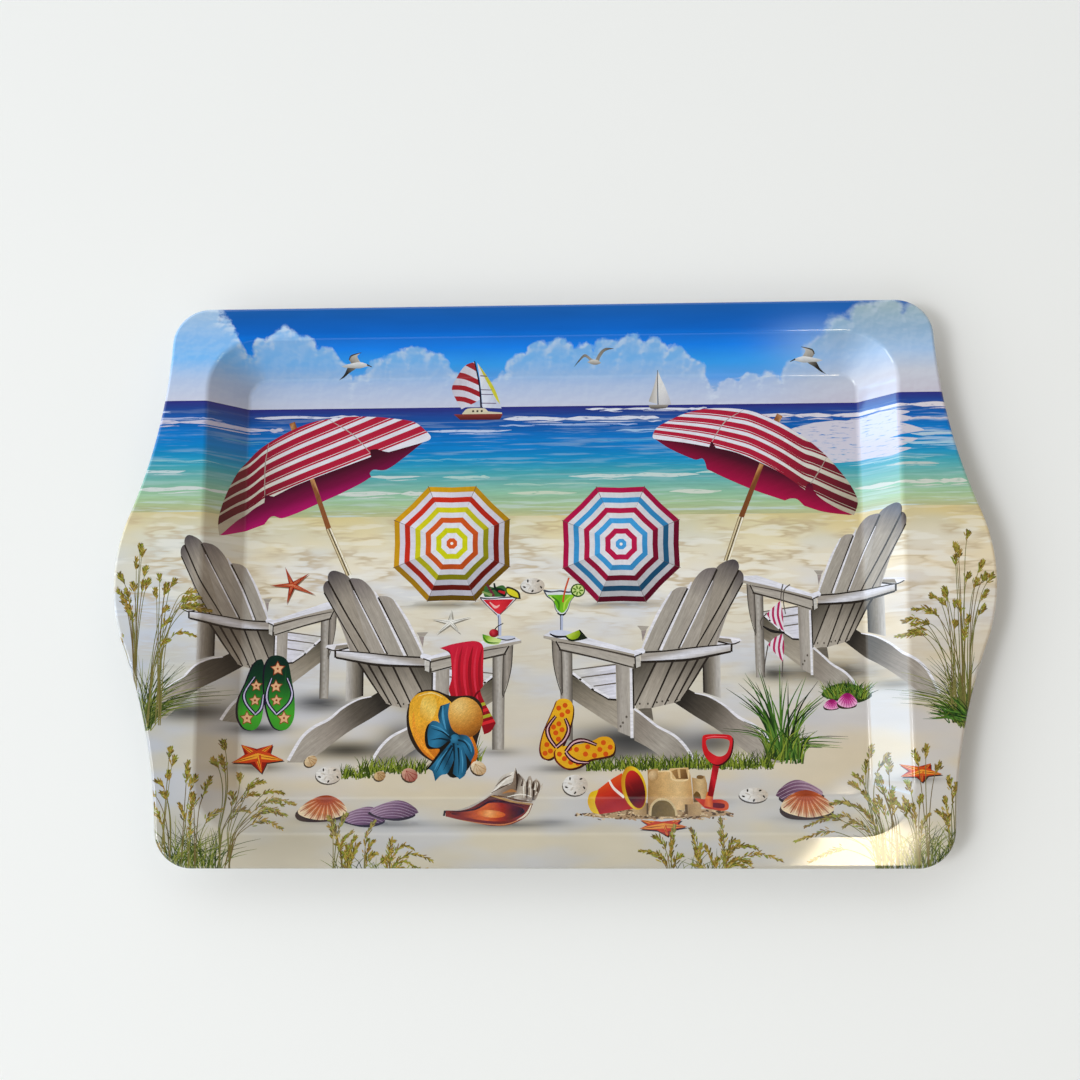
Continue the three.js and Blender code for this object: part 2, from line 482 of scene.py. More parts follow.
def deck_chair(name, at=(0, 0), size=(1, 1), foot=-71):
    """A weathered slatted chair, seen from behind and to one side."""
    chair = Motif(name, "wood", at, size)
    board, line = chair.fill, chair.line

    # Behind the back: the other arm's two ends and the post below the rail.
    board(cornered((38.6, -19.8), (44, -20), (42.6, -22), (40.3, -21.9)), "aaa197")
    board(cornered((40.4, -22), (42.8, -22), (41, -27)), "9c8f8c")
    board(
        cornered((68, -33), (75.6, -31), (75.6, -52.5), (68, -50)),
        fade((68, 0), (75.6, 0), *"3a3530 857c70 c9c4c0".split()), 90,
    )
    line([(68, -34), (68, -50)], 0.7, LINE)
    board(
        cornered((75, -24.5), (84.6, -25.7), (85.4, -26.8), (80.5, -28.6), (74, -28.5)), GLINT, -10,
    )
    board(cornered((74.6, -25.4), (80.4, -26), (81.2, -28), (74.4, -26.9)), "8f867b", -10)
    line([(74.4, -27), (80.8, -28.4), (84.6, -27.2)], [0.8, 0.5], LINE)

    # The seat, seen between the legs, and the rail that carries it.
    board(
        cornered((9.2, -39.6), (28.8, -37.2), (28.8, -53), (25.6, -52.8), (9.2, -42)),
        fade((9, -44), (29, -44), "c9c6c0", "dedcea"), 8,
    )
    for left, right in [
        ((9.3, -39.6), (28.8, -37.2)), ((13.3, -43), (28.8, -41.1)), ((18.8, -46.9), (28.8, -45.6)),
    ]:
        line([left, right], [0.5, 0.7], "6b635b")
    board(
        cornered((9, -41.8), (18.6, -48.8), (25.8, -53), (29.4, -53), (29.6, -66), (9, -52.5)),
        fade((12, -44), (18, -62), "5b5448", "8d8374", "a89e90"), -33,
    )
    line(
        [(9.2, -41.8), (13, -44), (18.6, -48.6), (25.6, -52.8), (29, -53)], 0.9, LINE, smooth=False,
    )
    for start, end in [
        ((9.4, -40.8), (12.6, -43.4)), ((13.4, -44), (18, -47.8)), ((19.2, -48.2), (25.8, -52)),
    ]:
        line([start, end], 1.1, GLINT)

    # The front leg with its bracket.
    board(
        cornered((3.6, -27), (9.4, -30), (9.4, foot), (4.2, foot)),
        fade((3.6, 0), (9.4, 0), *"6f675e a39b92 bdb7b1 8c847b 57504a".split()), 90,
    )
    board(
        cornered((0, -26), (4.6, -27.6), (4.9, -50.6)) + [(1.8, -41), (0.5, -33)],
        fade((0, 0), (4.6, 0), *"57504a 8f867c a0978e 5c554e".split()), 90,
    )
    line([(3.8, -28), (4.6, -34), (4.9, -50)], 0.35, "3a332d")
    line([(0.3, -27), (0.8, -36), (2.4, -44), (4.7, -51)], 0.4, "3a332d")

    # The arm: its top, its side and the block at its back end.
    board(
        cornered(
            (-3.6, -24), (-1, -22.4), (6, -22), (37, -31), (41.4, -29.6), (43.4, -31.4),
            (37.4, -34), (0, -25.6),
        ),
        fade((0, -24), (40, -31), "dcdbe4", "e8e7f2"), -13,
    )
    board(
        cornered((-3.6, -24), (12, -27), (37.2, -32.6), (37.2, -34), (4, -27), (-3.6, -25.2)),
        "a69d92", -13,
    )
    board(
        cornered((2, -26.6), (37.4, -34), (37.4, -39), (4, -30.4)),
        fade((18, -29), (17, -34), *TIMBER[1:]), -13,
    )
    line([(3, -27), (20, -30), (37.4, -34)], [0.4, 0.9], "4a423b")
    line([(3.4, -30.4), (20, -34.2), (37.4, -38.8)], [0.9, 0.6], "3b342e")
    line([(2, -26.6), (4, -30.4)], 0.7, LINE)

    # The post at the arm's back end.
    board(
        cornered((28.8, -37), (36.6, -38.8), (36.6, -70), (29.4, -67)),
        fade((28.8, 0), (36.6, 0), *"8e857c b0a8a0 aca49b b8b0a8".split()), 90,
    )
    line([(35.7, -39), (35.7, -70)], 1.3, GLINT)
    line([(36.7, -39), (36.7, -57)], [1.1, 0.8], LINE)
    for x, y in [(33.4, -60.6), (31.8, -63.2), (30.7, -64.8)]:
        chair.patch(oval(x, y, 0.5, 0.6, count=8), "5b534b")

    # The two runners that slope down behind.
    board(
        [
            (60.6, -48, SHARP), (65, -50.5), (70, -52), (77, -56), (83, -61.2), (90, -65),
            (95, -70), (100, -78, SHARP), (101.5, -81, SHARP), (92, -81, SHARP), (75, -67.4),
            (64, -60.5), (54.8, -54.4, SHARP),
        ],
        fade((59, -54), (92, -74), "2d2823", "5a5249", "978d83", "a9a096"), -38,
    )
    line(
        [
            (64, -50.2), (70, -51.6), (77, -55.6), (83, -60.8), (90, -64.6), (95.4, -69.8),
            (101, -80),
        ],
        [0.4, 1.3, 1.5], GLINT,
    )
    board(
        [
            (36.8, -57, SHARP), (41, -60), (47, -65), (54.6, -69.3), (59.6, -74.6),
            (64, -82, SHARP), (55, -83, SHARP), (44, -75), (36.8, -71, SHARP),
        ],
        fade((39, -66), (60, -80), "8d8379", "aaa298", "8b8379"), -40,
    )
    board(cornered((38.4, -57), (44.6, -56.6), (45.4, -62.4), (41.5, -59.8)), "6a6258")
    line(
        [(36.8, -57), (41, -60), (47, -64.8), (54.6, -69), (59.8, -74.4), (64, -81.6)], [0.9, 1.4],
        GLINT,
    )

    # The back: slats below the rail, then the tall ones, then the rail over both.
    board(
        cornered(
            (36.8, -37), (47, -36), (70.5, -33.8), (61, -48.4), (57.4, -53.4), (55, -54.4),
            (44.4, -56.8), (37.6, -56.8),
        ),
        fade((54, -35), (48, -56), "6f675d", "a0968a", "b1a79b"), 64,
    )
    board(
        cornered((36.8, -37), (46.8, -36.2), (37, -55.8)),
        fade((38, -38), (44, -48), "4b453c", "8b8277"), 64,
    )
    for top, foot in [
        ((46.9, -36.2), (37.2, -55.6)), ((54.4, -36), (44.8, -56.6)),
        ((61.2, -35.4), (50.4, -55.4)), ((65.8, -34.8), (54.8, -54.4)),
        ((70.2, -34), (60.8, -48.6)),
    ]:
        line([top, foot], [1.0, 0.6], LINE)
    line([(70, -34.4), (64, -44), (57.6, -53.2)], 0.5, LINE)
    for x, y in [(39.4, -54.8), (43, -54.8), (47, -54.2), (49.4, -53.8), (52, -53.4), (56, -52.8)]:
        chair.patch(oval(x, y, 0.4, 0.5, count=8), "3f3830")

    # Each tall slat's outline, from the foot of one side over its rounded top to the other.
    slats = [
        [(74, -29.2), (80.2, -12), (85.2, -3.4), (85.8, -0.4), (84.4, 0), (70, -29.2)],
        [(73.6, -29), (79, -15), (86.2, -1.4), (86.9, 2), (86.2, 4.2), (84.8, 4.9), (65, -29.8)],
        [
            (70, -29.3), (77, -16), (84.6, 5), (84.8, 8), (83.2, 9.9), (80.6, 9.8), (76.6, 8),
            (74.4, 5.6), (57, -30),
        ],
        [
            (65, -29.8), (75, 5.4), (71.5, 6.2), (68.4, 5), (65.4, 2), (63.2, -1.6), (62, -3.8),
            (48.8, -31),
        ],
        [
            (57, -30.4), (61.6, -3), (59.4, -2.4), (56.6, -2.9), (54, -5), (51, -9.4), (41.4, -30),
            (42.4, -31.6),
        ],
    ]
    tones = [
        ((80, -8), "6f666a", "b9b1a8"), ((86, 4), "544c4d", "a59c92"),
        ((83, 9), "524b4d", "a0968a"), ((72, 6), "766d6c", "a9a096"),
        ((58, -2), "a39a92", "a8a096"),
    ]
    for k, (outline, (top, dark, pale)) in enumerate(zip(slats, tones)):
        sharp_feet = [
            (x, y, SHARP) if j in (0, len(outline) - 1) or (k == 4 and j == 6) else (x, y)
            for j, (x, y) in enumerate(outline)
        ]
        board(sharp_feet, fade(top, (top[0] - 13, top[1] - 27), dark, pale, pale), 64)
    line([(63.4, 0), (61.6, -3.6), (49, -31)], [0.4, 1.5, 1.2], GLINT)
    line([(61.6, -3), (58.6, -9), (47.8, -31)], [0.9, 0.7, 0.5], LINE)
    line([(75, 5.6), (68, -9), (57, -30.2)], [0.9, 0.7], LINE)
    line([(73, 0.4), (66, -13.6), (58, -29.6)], [0.2, 0.7, 0.5], GLINT)
    line([(84.8, 5.2), (76, -11), (65, -29.6)], [0.9, 0.6], LINE)
    line([(86.4, -0.6), (79.4, -13), (70.2, -29.2)], [0.7, 0.5], LINE)
    line([(80.4, -12), (76.4, -20), (73.4, -29)], [0.3, 0.9], "9a918a")
    line([(54.4, -4.2), (48, -14.6), (41, -29.6)], [0.5, 1.4, 1.0], GLINT)

    board(
        [
            (40, -33, SHARP), (42.4, -31.6, SHARP), (52, -31), (66, -29.4), (80.8, -28.2, SHARP),
            (80.6, -31.6, SHARP), (72, -33.2), (62, -35), (50, -35.8), (40.2, -36.2, SHARP),
        ],
        fade((60, -30), (61.4, -35.6), "a59c94", "e3e2ec", "b5aea8"), 5,
    )
    line([(42, -31.8), (52, -31.2), (66, -29.6), (80.6, -28.3)], [0.8, 0.5], LINE)
    line([(40, -36.2), (50, -35.9), (62, -35.2), (72, -33.4), (80.4, -31.7)], [1.0, 1.2, 0.9], LINE)
    line([(80.8, -28), (80.7, -31.8)], 0.9, LINE)
    board(cornered((37.6, -33.8), (39.6, -33), (40, -38), (37.9, -38.9)), "c5c0ba")
    line([(37.5, -33.6), (37.7, -39)], 0.6, LINE)
    line([(37.6, -33.6), (40.8, -32.4)], 0.6, LINE)


def leaning_parasol(name, lean, lining, under, canopy, band, lifts, ribs, pole):
    """A striped parasol that leans away, with its pole in the sand.

    `band` is the lowest stripe's line, and `lifts` says how far apart the stripes are along it."""
    stick, cloth = Motif(name + "_pole", "wood"), Motif(name, "cloth")
    finial, shaft, foot = pole
    brown = ("8c5430", "dcaa74", "b8743c", "7c4826")
    stick.line(
        finial, 2.8,
        fade((finial[0][0] - 1.4, finial[0][1]), (finial[0][0] + 1.4, finial[0][1] + 0.6), *brown),
        70,
    )
    middle = under[len(under) // 2]
    cloth.fill(
        under, fade((middle[0] - 6 * lean, middle[1] + 15), (middle[0], middle[1] - 2), *lining),
        24,
    )
    side = math.copysign(1, shaft[1][0] - shaft[0][0])
    x, y = shaft[0]
    stick.line(shaft, [2.0, 2.4], fade((x - 1.2, y - side), (x + 1.4, y + side), *brown), 70)
    stick.line(foot, [2.8, 2.5], "d6c6a0", 70)
    stick.line(foot, 0.5, "4a3a26", 70)
    stick.line(shifted(foot, -1.2, 0), 0.3, "7c6442", 70)
    stick.line(shifted(foot, 0.8, 0), 0.5, "f6f0e2", 70)
    hull = cloth.fill(
        canopy,
        fade(
            (canopy[0][0], canopy[0][1] + 12), (middle[0], middle[1] + 26), "b4a894", "d6d0c4",
            "e4e2ea", "e6e4ee",
        ),
        24,
    )
    red = fade(
        (canopy[0][0], canopy[0][1] + 8), (middle[0], middle[1] + 26), "561822", "7c1a2c", "b01c3a",
        "b8203c",
    )
    for k in range(8):
        gaps = [np.interp(x, *lifts) for x, _ in band]
        line = [(x, y + k * gap) for (x, y), gap in zip(band, gaps)]
        cloth.line(line, [0.46 * gap for gap in gaps], red, 24, hull)
        second = [(x, y - 0.36 * gap) for (x, y), gap in zip(line, gaps)]
        cloth.line(second, [0.13 * gap for gap in gaps], red, 24, hull)
    for rib, ink in zip(ribs, ("a89c94", "b4a8a6")):
        cloth.line(rib, [0.15, 0.5, 0.3], ink, inside=hull)


def across(near, far, turn):
    """Ink that runs from one colour to another across a panel of an open parasol."""
    c, s = math.cos(turn), math.sin(turn)
    return lambda x, y: blend(far, near, np.clip(0.5 + (y * c - x * s) / 18, 0, 1))


def open_parasol(name, at, rings):
    """An eight-sided parasol, seen from above, in rings of cloth that sag between its ribs."""
    cloth = Motif(name, "cloth", at)
    light = [0.6, 0.88, 1.0, 1.0, 0.96, 0.78, 0.5, 0.52]  # right side first, then counterclockwise
    band = 2.41  # the width of each ring of cloth
    sag = 0.985  # how far out the cloth hangs between two ribs
    rib_reach = 26.8
    half = math.pi / 8
    count = len(rings)
    for k in range(count):
        outer, inner = band * (count - k), band * (count - k - 1)
        white = k % 2 == 1
        for side in range(8):
            middle = side * math.pi / 4
            corners = []
            for radius, turns in ((outer, (-half, 0, half)), (inner, (half, 0, -half))):
                reach = [radius / math.cos(half) if t else radius * sag for t in turns]
                corners += [
                    (r * math.cos(middle + t), r * math.sin(middle + t))
                    for r, t in zip(reach, turns)
                ]
            if inner == 0:
                corners = corners[:4]
            fall = (1 - light[side]) * ease((outer + inner) / 2 / 13 - 0.5) * (0.3 if white else 1)
            near = rgb(rings[k]) * (1 - fall) ** 2.4
            far = rgb(rings[k]) * (0.94 * (1 - fall)) ** 2.4
            cloth.patch(corners, across(near, far, middle), math.degrees(middle))
    for rib in range(8):
        a = half + rib * math.pi / 4
        tip = rib_reach / math.cos(half)
        cloth.line(
            [(19 * math.cos(a), 19 * math.sin(a)), (tip * math.cos(a), tip * math.sin(a))],
            [0.05, 0.3], "5c4a44",
        )
    cloth.patch(oval(0, 0, 0.7, 0.7, count=12), "f6f0ea")


def gull(name, at, size):
    """A gull with its wings raised."""
    bird = Motif(name, "feather", at, size)
    bird.fill(
        [(-1.2, 2.2), (-2.8, 4.6), (-1.2, 6), (3.4, 7.2, SHARP), (1.4, 5.6), (2.6, 2.4)],
        fade((-2, 1), (3, 7), "6c665c", "b8b2a8", "e2ded6"), 60,
    )
    bird.line([(-2.8, 4.2), (-1.4, 6), (3.6, 7.2)], [0.4, 0.6, 0.2], "4a443c")
    bird.fill(
        [
            (-9.4, -4.4, SHARP), (-6.2, -1.8), (-3.6, 1.4), (0.4, 2.4), (0, 0.8), (-3.6, -1.2),
            (-6.4, -3),
        ],
        fade((-9, -4), (0, 2), "141210", "2e2a26", "8f887c"), 35,
    )
    bird.fill(
        [
            (-7, 1.6, SHARP), (-3, 2.6), (2, 3.3), (5.2, 2.6), (6.8, 1.7, SHARP), (4.8, 1.3),
            (1.6, 0.7), (-2.4, 0.9), (-5, 1),
        ],
        fade((0, 3.2), (0, 0.6), "ffffff", "d6d8da", "b4b2ac"),
    )
    bird.line([(5.6, 2.2), (7.8, 1.2)], [0.7, 0.3], "2c2620")


def gliding_gull(name, at):
    """A gull that glides, its long wings bent up at the wrists."""
    bird = Motif(name, "feather", at)
    bird.fill(
        [
            (-9.6, -1.4, SHARP), (-7, 1.4), (-4.4, 3.2), (-1.4, 1.6), (0.6, 0.8), (0.6, 0),
            (-1.8, 0.6), (-4.4, 2.2), (-7, 0.6),
        ],
        fade((-9, 0), (0, 2), "2a2622", "8c857c", "b9b2a6"), 30,
    )
    bird.fill(
        [(0.2, 0.8, SHARP), (2, 3.4), (4.8, 5.2), (9, 5, SHARP), (5, 4.2), (2.8, 2.2), (1.6, 0.2)],
        fade((0, 1), (9, 5), "a39c90", "8c857c", "37322c"), 30,
    )
    bird.fill(
        [(-3.4, 0.4, SHARP), (-1, 1.2), (1.4, 1), (3, 0, SHARP), (1, -0.6), (-1.4, -0.4)],
        fade((0, 1.2), (0, -0.6), "e6e2dc", "8f877c"),
    )


def sailing_boat(name):
    """A boat with a striped sail, and a small yacht far off."""
    boat = Motif(name, "cloth")
    sail = boat.fill(
        [
            (-34.6, 102, SHARP), (-39.4, 100.6), (-44, 96), (-46, 91), (-44, 86),
            (-41.4, 81.4, SHARP), (-36, 84), (-32.6, 86, SHARP), (-33.4, 94),
        ],
        fade((-46, 90), (-33, 90), "cfcad6", "e6e4f0"), 80,
    )
    for lift in (0, 5.4, 10.8, 16.2):
        boat.line(
            [(-48, 86.4 + lift), (-40, 86 + lift), (-31, 82 + lift)], 2.3, "a8242c", inside=sail,
        )
    boat.fill(
        [(-33.6, 101.6, SHARP), (-29.6, 96), (-26.2, 90), (-22.8, 81.6, SHARP), (-31.4, 82, SHARP)],
        fade((-33, 90), (-24, 90), "e9edf6", "c5cbe0"), 70,
    )
    boat.fill(
        [
            (-33.4, 101.4, SHARP), (-29.2, 96.4), (-25.6, 90), (-23.4, 83.4, SHARP), (-25.4, 86),
            (-29, 93),
        ],
        "d6cf3c", 70,
    )
    for y in (97, 90.6, 88.4, 84.2):
        boat.line([(-32.6, y), (-28.6 + (94 - y) * 0.34, y - 0.2)], 0.4, "6a5a78")
    boat.line([(-34.8, 102.2), (-33, 92), (-32.2, 81)], [0.6, 0.9], "1d1a2c")
    boat.fill(
        [
            (-41, 79.4, SHARP), (-38.6, 81.6), (-31, 81.8), (-29, 80.2, SHARP),
            (-22.6, 79.6, SHARP), (-22.6, 78.8, SHARP), (-41, 78.8, SHARP),
        ],
        "ddd2b4",
    )
    for x in (-36, -34, -32):
        boat.patch(oval(x, 80.4, 0.55, 0.5, count=8), "2a2420")
    boat.fill(
        [
            (-45, 79, SHARP), (-22.2, 79, SHARP), (-23.4, 76.6), (-25, 76.2, SHARP),
            (-42, 76.3, SHARP),
        ],
        fade((0, 79), (0, 76), "8c3a34", "4c1a1c"),
    )
    yacht = Motif(name + "_far", "cloth")
    yacht.fill(
        [(49.6, 98, SHARP), (52.4, 92), (54.6, 86), (55.6, 82.4, SHARP), (49.8, 82.4, SHARP)],
        fade((49, 90), (56, 84), "f1efec", "c9c6cc"), 70,
    )
    yacht.fill(
        [(49.4, 98, SHARP), (47.6, 91), (45.2, 84, SHARP), (49, 82.8, SHARP)],
        fade((46, 88), (50, 88), "b8b2ac", "e6e0da"), 70,
    )
    yacht.line([(49.4, 98.2), (49.5, 81.6)], [0.25, 0.5], "4c4640")
    yacht.fill(
        [(45, 82.4, SHARP), (54.4, 82.4, SHARP), (53, 80.8), (46.4, 80.6)],
        fade((0, 82.4), (0, 80.6), "a49c94", "57504c"),
    )


def wavering(rng, left, right, y, waver):
    """A line from left to right that wavers up and down."""
    shares = (0, 0.2, 0.4, 0.6, 0.8, 1)
    return [(left + (right - left) * share, y + rng.uniform(-waver, waver)) for share in shares]


def surf():
    """Broken lines of foam on the sea, and the white water on the far right."""
    foam = Motif("surf", "foam", under=sea_ink)
    rng = random.Random(41)
    for y, left, right, thick in [
        (73, 132, 160, 3.6), (70, 110, 162, 6.5), (65.5, 108, 166, 7.5), (60.5, 112, 163, 6.5),
        (56.6, 122, 160, 4),
    ]:
        path = wavering(rng, left, right, y, 0.8)
        foam.line(path, [0.3, thick, thick * 1.15, thick, thick * 0.8, 0.3], "d2cdda")

    # Each crest's height, left end, right end, thickness and colour.
    crests = [
        (80.6, 16, 72, 1.1, "e4e6f4"), (78.2, -138, -88, 1.4, "d6d8ea"),
        (77.4, -186, -172, 0.6, "b4c4ea"), (76.4, -22, 50, 1.9, "dcdfee"),
        (76.6, 84, 190, 2.0, "e0d8e0"), (73.4, -24, 40, 0.7, "a4bce6"),
        (74.2, -186, -150, 0.7, "a8b4de"), (72.2, -186, -124, 2.0, "ccc8de"),
        (71, -58, -18, 1.5, "c2d0ee"), (70.6, 30, 52, 1.0, "9fc0e6"),
        (70.4, 160, 186, 1.0, "c8c2d4"), (66.6, -150, -96, 0.8, "5a9cc8"),
        (66, 20, 56, 0.7, "5aa4d8"), (63.4, 160, 186, 1.4, "b6ccdc"),
        (59.4, 156, 184, 1.2, "a8cce0"), (57.6, -70, -30, 0.7, "64aed0"),
        (54.4, -182, -150, 0.8, "86c0d0"), (52.8, 136, 170, 0.8, "96c4cc"),
        (49.6, -186, -164, 1.4, "c2d6da"), (49.6, -84, -60, 1.5, "c8d8d8"),
        (49.2, -50, -28, 1.2, "b5d4cf"), (49.4, 8, 68, 1.7, "ccdcda"),
        (50.4, 66, 96, 1.2, "bcd8d4"), (50, 150, 172, 1.2, "c2ccc8"),
        (41.6, -186, -140, 1.9, "d4dcda"), (41.8, -100, -58, 2.0, "d4dcd6"),
        (41.6, -20, 12, 1.6, "ccd8c4"), (41.6, 54, 78, 1.9, "d4dcd0"),
        (41.9, 138, 184, 1.9, "d4d8ce"), (45.6, -22, 20, 0.7, "a6ccc0"),
        (38.4, -130, -100, 0.6, "b6ccb0"), (37.4, 50, 86, 0.6, "b8ccae"),
    ]
    for y, left, right, thick, colour in crests:
        x = left
        while x < right - 4:
            length = rng.uniform(14, 44)
            end = min(x + length, right)
            path = wavering(rng, x, end, y, 0.3)
            widths = [0.1] + [thick * rng.uniform(0.6, 1.15) for _ in range(4)] + [0.1]
            foam.line(path, widths, colour)
            if rng.random() < 0.7:
                foam.line(
                    [(px + 3, py - thick * 0.9) for px, py in path[1:5]], [0.1, thick * 0.3, 0.1],
                    colour,
                )
            x = end - rng.uniform(0.5, 4)


backdrop()
surf()
sailing_boat("sailing_boat")
gull("gull_left", (-90, 99.6), (0.95, 0.85))
gliding_gull("gull_middle", (20.4, 101))
gull("gull_right", (117.6, 99.6), (-1.0, 0.85))
leaning_parasol(
    "parasol_left", 1, ("34101c", "4a1026", "7c0e42", "b8126a"),
    [
        (-149.6, 21.4, SHARP), (-147.8, 21.8), (-139.6, 25.2), (-132, 28, SHARP), (-129.7, 31),
        (-127.5, 31.8), (-124, 30.8), (-116.4, 33.4), (-106.8, 37.7), (-97, 42.1), (-87.5, 46.9),
        (-83, 49.8, SHARP), (-83.6, 51.7), (-81.7, 53.2), (-75.9, 53.2), (-68.2, 58.5),
        (-59, 66, SHARP), (-84, 66, SHARP), (-132, 45, SHARP),
    ],
    [
        (-149.7, 21.2, SHARP), (-150.3, 27), (-149.2, 35), (-146.3, 45.5), (-142.3, 55),
        (-135.6, 63), (-126, 69.3), (-116.4, 74), (-106.8, 76.9), (-93.3, 78.4), (-81.7, 78.2),
        (-72, 77.2), (-63.4, 75.6), (-58.4, 71.8), (-55.6, 68.6), (-56.8, 66.7), (-68.2, 63.3),
        (-75, 61.4, SHARP), (-77.9, 62), (-80.7, 62.9), (-83.7, 62.6, SHARP), (-83.2, 59.3, SHARP),
        (-101, 52.7), (-110.6, 49.1), (-119.3, 45.5), (-128, 41, SHARP), (-130.2, 41.4),
        (-132, 41.8, SHARP), (-132.3, 38.2, SHARP), (-137.6, 34.9), (-143.4, 29.6), (-148, 23.4),
    ],
    [
        (-152, 26.5), (-144, 34.4), (-137, 39.4), (-132, 43), (-120, 48.2), (-110, 52.3),
        (-100, 56.2), (-90, 60.2), (-83.5, 62.8), (-76, 65.8), (-66, 69.8), (-54, 74.6),
    ],
    ((-151, -125, -56), (4.9, 6.0, 6.6)),
    [[(-131, 66), (-132.4, 56), (-132.2, 41.6)], [(-104, 77.6), (-92, 70), (-83.5, 61)]],
    (
        [(-120.4, 75.9), (-118.8, 71.5)], [(-110.8, 50), (-102.2, 25.8)],
        [(-102.2, 25.8), (-92.4, 4)],
    ),
)
leaning_parasol(
    "parasol_right", -1, ("34101c", "4a1024", "8c0e38", "b40f48"),
    [
        (137, 30.2, SHARP), (135, 30), (123.8, 31.5), (115, 34.4, SHARP), (112, 37.4), (109, 37.8),
        (106.3, 36.9, SHARP), (92.5, 41.9), (80, 47.5), (71.3, 51.9, SHARP), (70.4, 55.6),
        (69, 56.9), (66, 56.4), (55, 61.4), (47.4, 66.6, SHARP), (74, 66, SHARP), (118, 46, SHARP),
    ],
    [
        (137.3, 29.8, SHARP), (139.2, 35), (138.6, 39), (135, 45.8), (128.8, 54), (122.5, 60.8),
        (115, 67), (105, 73.3), (95, 78), (86.3, 80), (75, 80.5), (67.5, 79.6), (60, 77.5),
        (51.3, 73.2), (48.2, 71), (46.8, 67.5), (47.6, 66.3), (61.3, 64.4), (72.6, 62.2, SHARP),
        (73.6, 64.6), (74.4, 64), (75.6, 61.8, SHARP), (85, 59.4), (96.3, 54.4), (106.3, 48.8),
        (115.6, 41.8, SHARP), (116.9, 44.5), (118.8, 44.4), (120, 40.6), (123.8, 36.9), (130, 33.1),
        (135, 30.8),
    ],
    [
        (42, 70.6), (60, 68), (73.5, 65.3), (85, 62), (92.5, 59.2), (104, 52.8), (115, 45.2),
        (120, 43), (130, 38), (141, 33.2),
    ],
    ((47, 92, 135), (3.2, 5.5, 6.8)),
    [[(126, 57), (122, 50), (118, 44.4)], [(89, 79.6), (80, 74), (73.9, 64.6)]],
    ([(105.2, 77), (103, 72.8)], [(96.3, 54), (86.4, 29.4)], [(86.4, 29.4), (79.4, 9.4)]),
)
open_parasol(
    "parasol_gold", (-45.4, 18.4),
    "d8a018 e4e0ee d4301c e6e4f2 dcd41c e8e8f2 de5c20 ececf6 d6d610 f0eef8 e05c24".split(),
)
open_parasol(
    "parasol_blue", (31.8, 17.5),
    "b8124a e2e0e6 3c9cdc e2e2e8 bc1648 e8e6ec 44a6e8 eae8f0 c0184c f0eef6 48a4e6".split(),
)
deck_chair("deck_chair_far_left", (-97.5, 11.5), (-0.776, 0.895))
deck_chair("deck_chair_far_right", (88, 23.4), (0.79, 0.94))
deck_chair("deck_chair_near_left", (-17.2, -3.3), (-1, 0.952), -75.3)
deck_chair("deck_chair_near_right")


def towel():
    """A red towel that hangs in folds over a chair, with a striped hem."""
    cloth = Motif("red_towel", "cloth")
    body = cloth.fill(
        [
            (-50.4, -29.4, SHARP), (-44, -27.5), (-35.6, -26.3), (-32, -27.2), (-30.7, -29.8),
            (-30.8, -38), (-30.8, -46.4), (-32, -48.8), (-30.2, -53.6), (-25, -63.2, SHARP),
            (-27.2, -66.8), (-30.2, -68.2, SHARP), (-32.8, -60), (-35.6, -53), (-45.4, -51, SHARP),
            (-46.2, -47.6), (-45, -42.8), (-45.4, -34.4), (-46.4, -31.4),
        ],
        fade((-44, -27), (-34, -58), "c8203c", "cc1a30", "b41424", "8c0e1a"), 88,
    )
    for x, ink, width in [
        (-43.6, "d83044", 1.1), (-41.6, "a41426", 1.2), (-39.2, "d62c42", 1.1),
        (-36.8, "98101f", 1.5), (-34.6, "d43046", 0.9), (-32.4, "a01222", 1.2),
    ]:
        cloth.line(
            [(x + 1.4, -28.6), (x, -36), (x + 0.2, -46), (x + 3, -60)], [0.1, width, width, 0.2],
            ink, inside=body,
        )
    cloth.line(
        [(-49.6, -29.8), (-46.4, -31.2), (-45.4, -35)], [0.3, 0.9, 0.3], "8c1020", inside=body,
    )
    cloth.line(
        [(-31.4, -48.4), (-33.4, -49.6), (-35.4, -53)], [0.3, 0.9, 0.5], "6c0a14", inside=body,
    )
    for k in range(4):
        top = -54.6 - k * 2.9
        cloth.line(
            [(-36, top - 2.4), (-31, top - 0.2), (-24, top + 1.8)], 1.4,
            "aaa82e" if k % 2 == 0 else "d3262e", inside=body,
        )


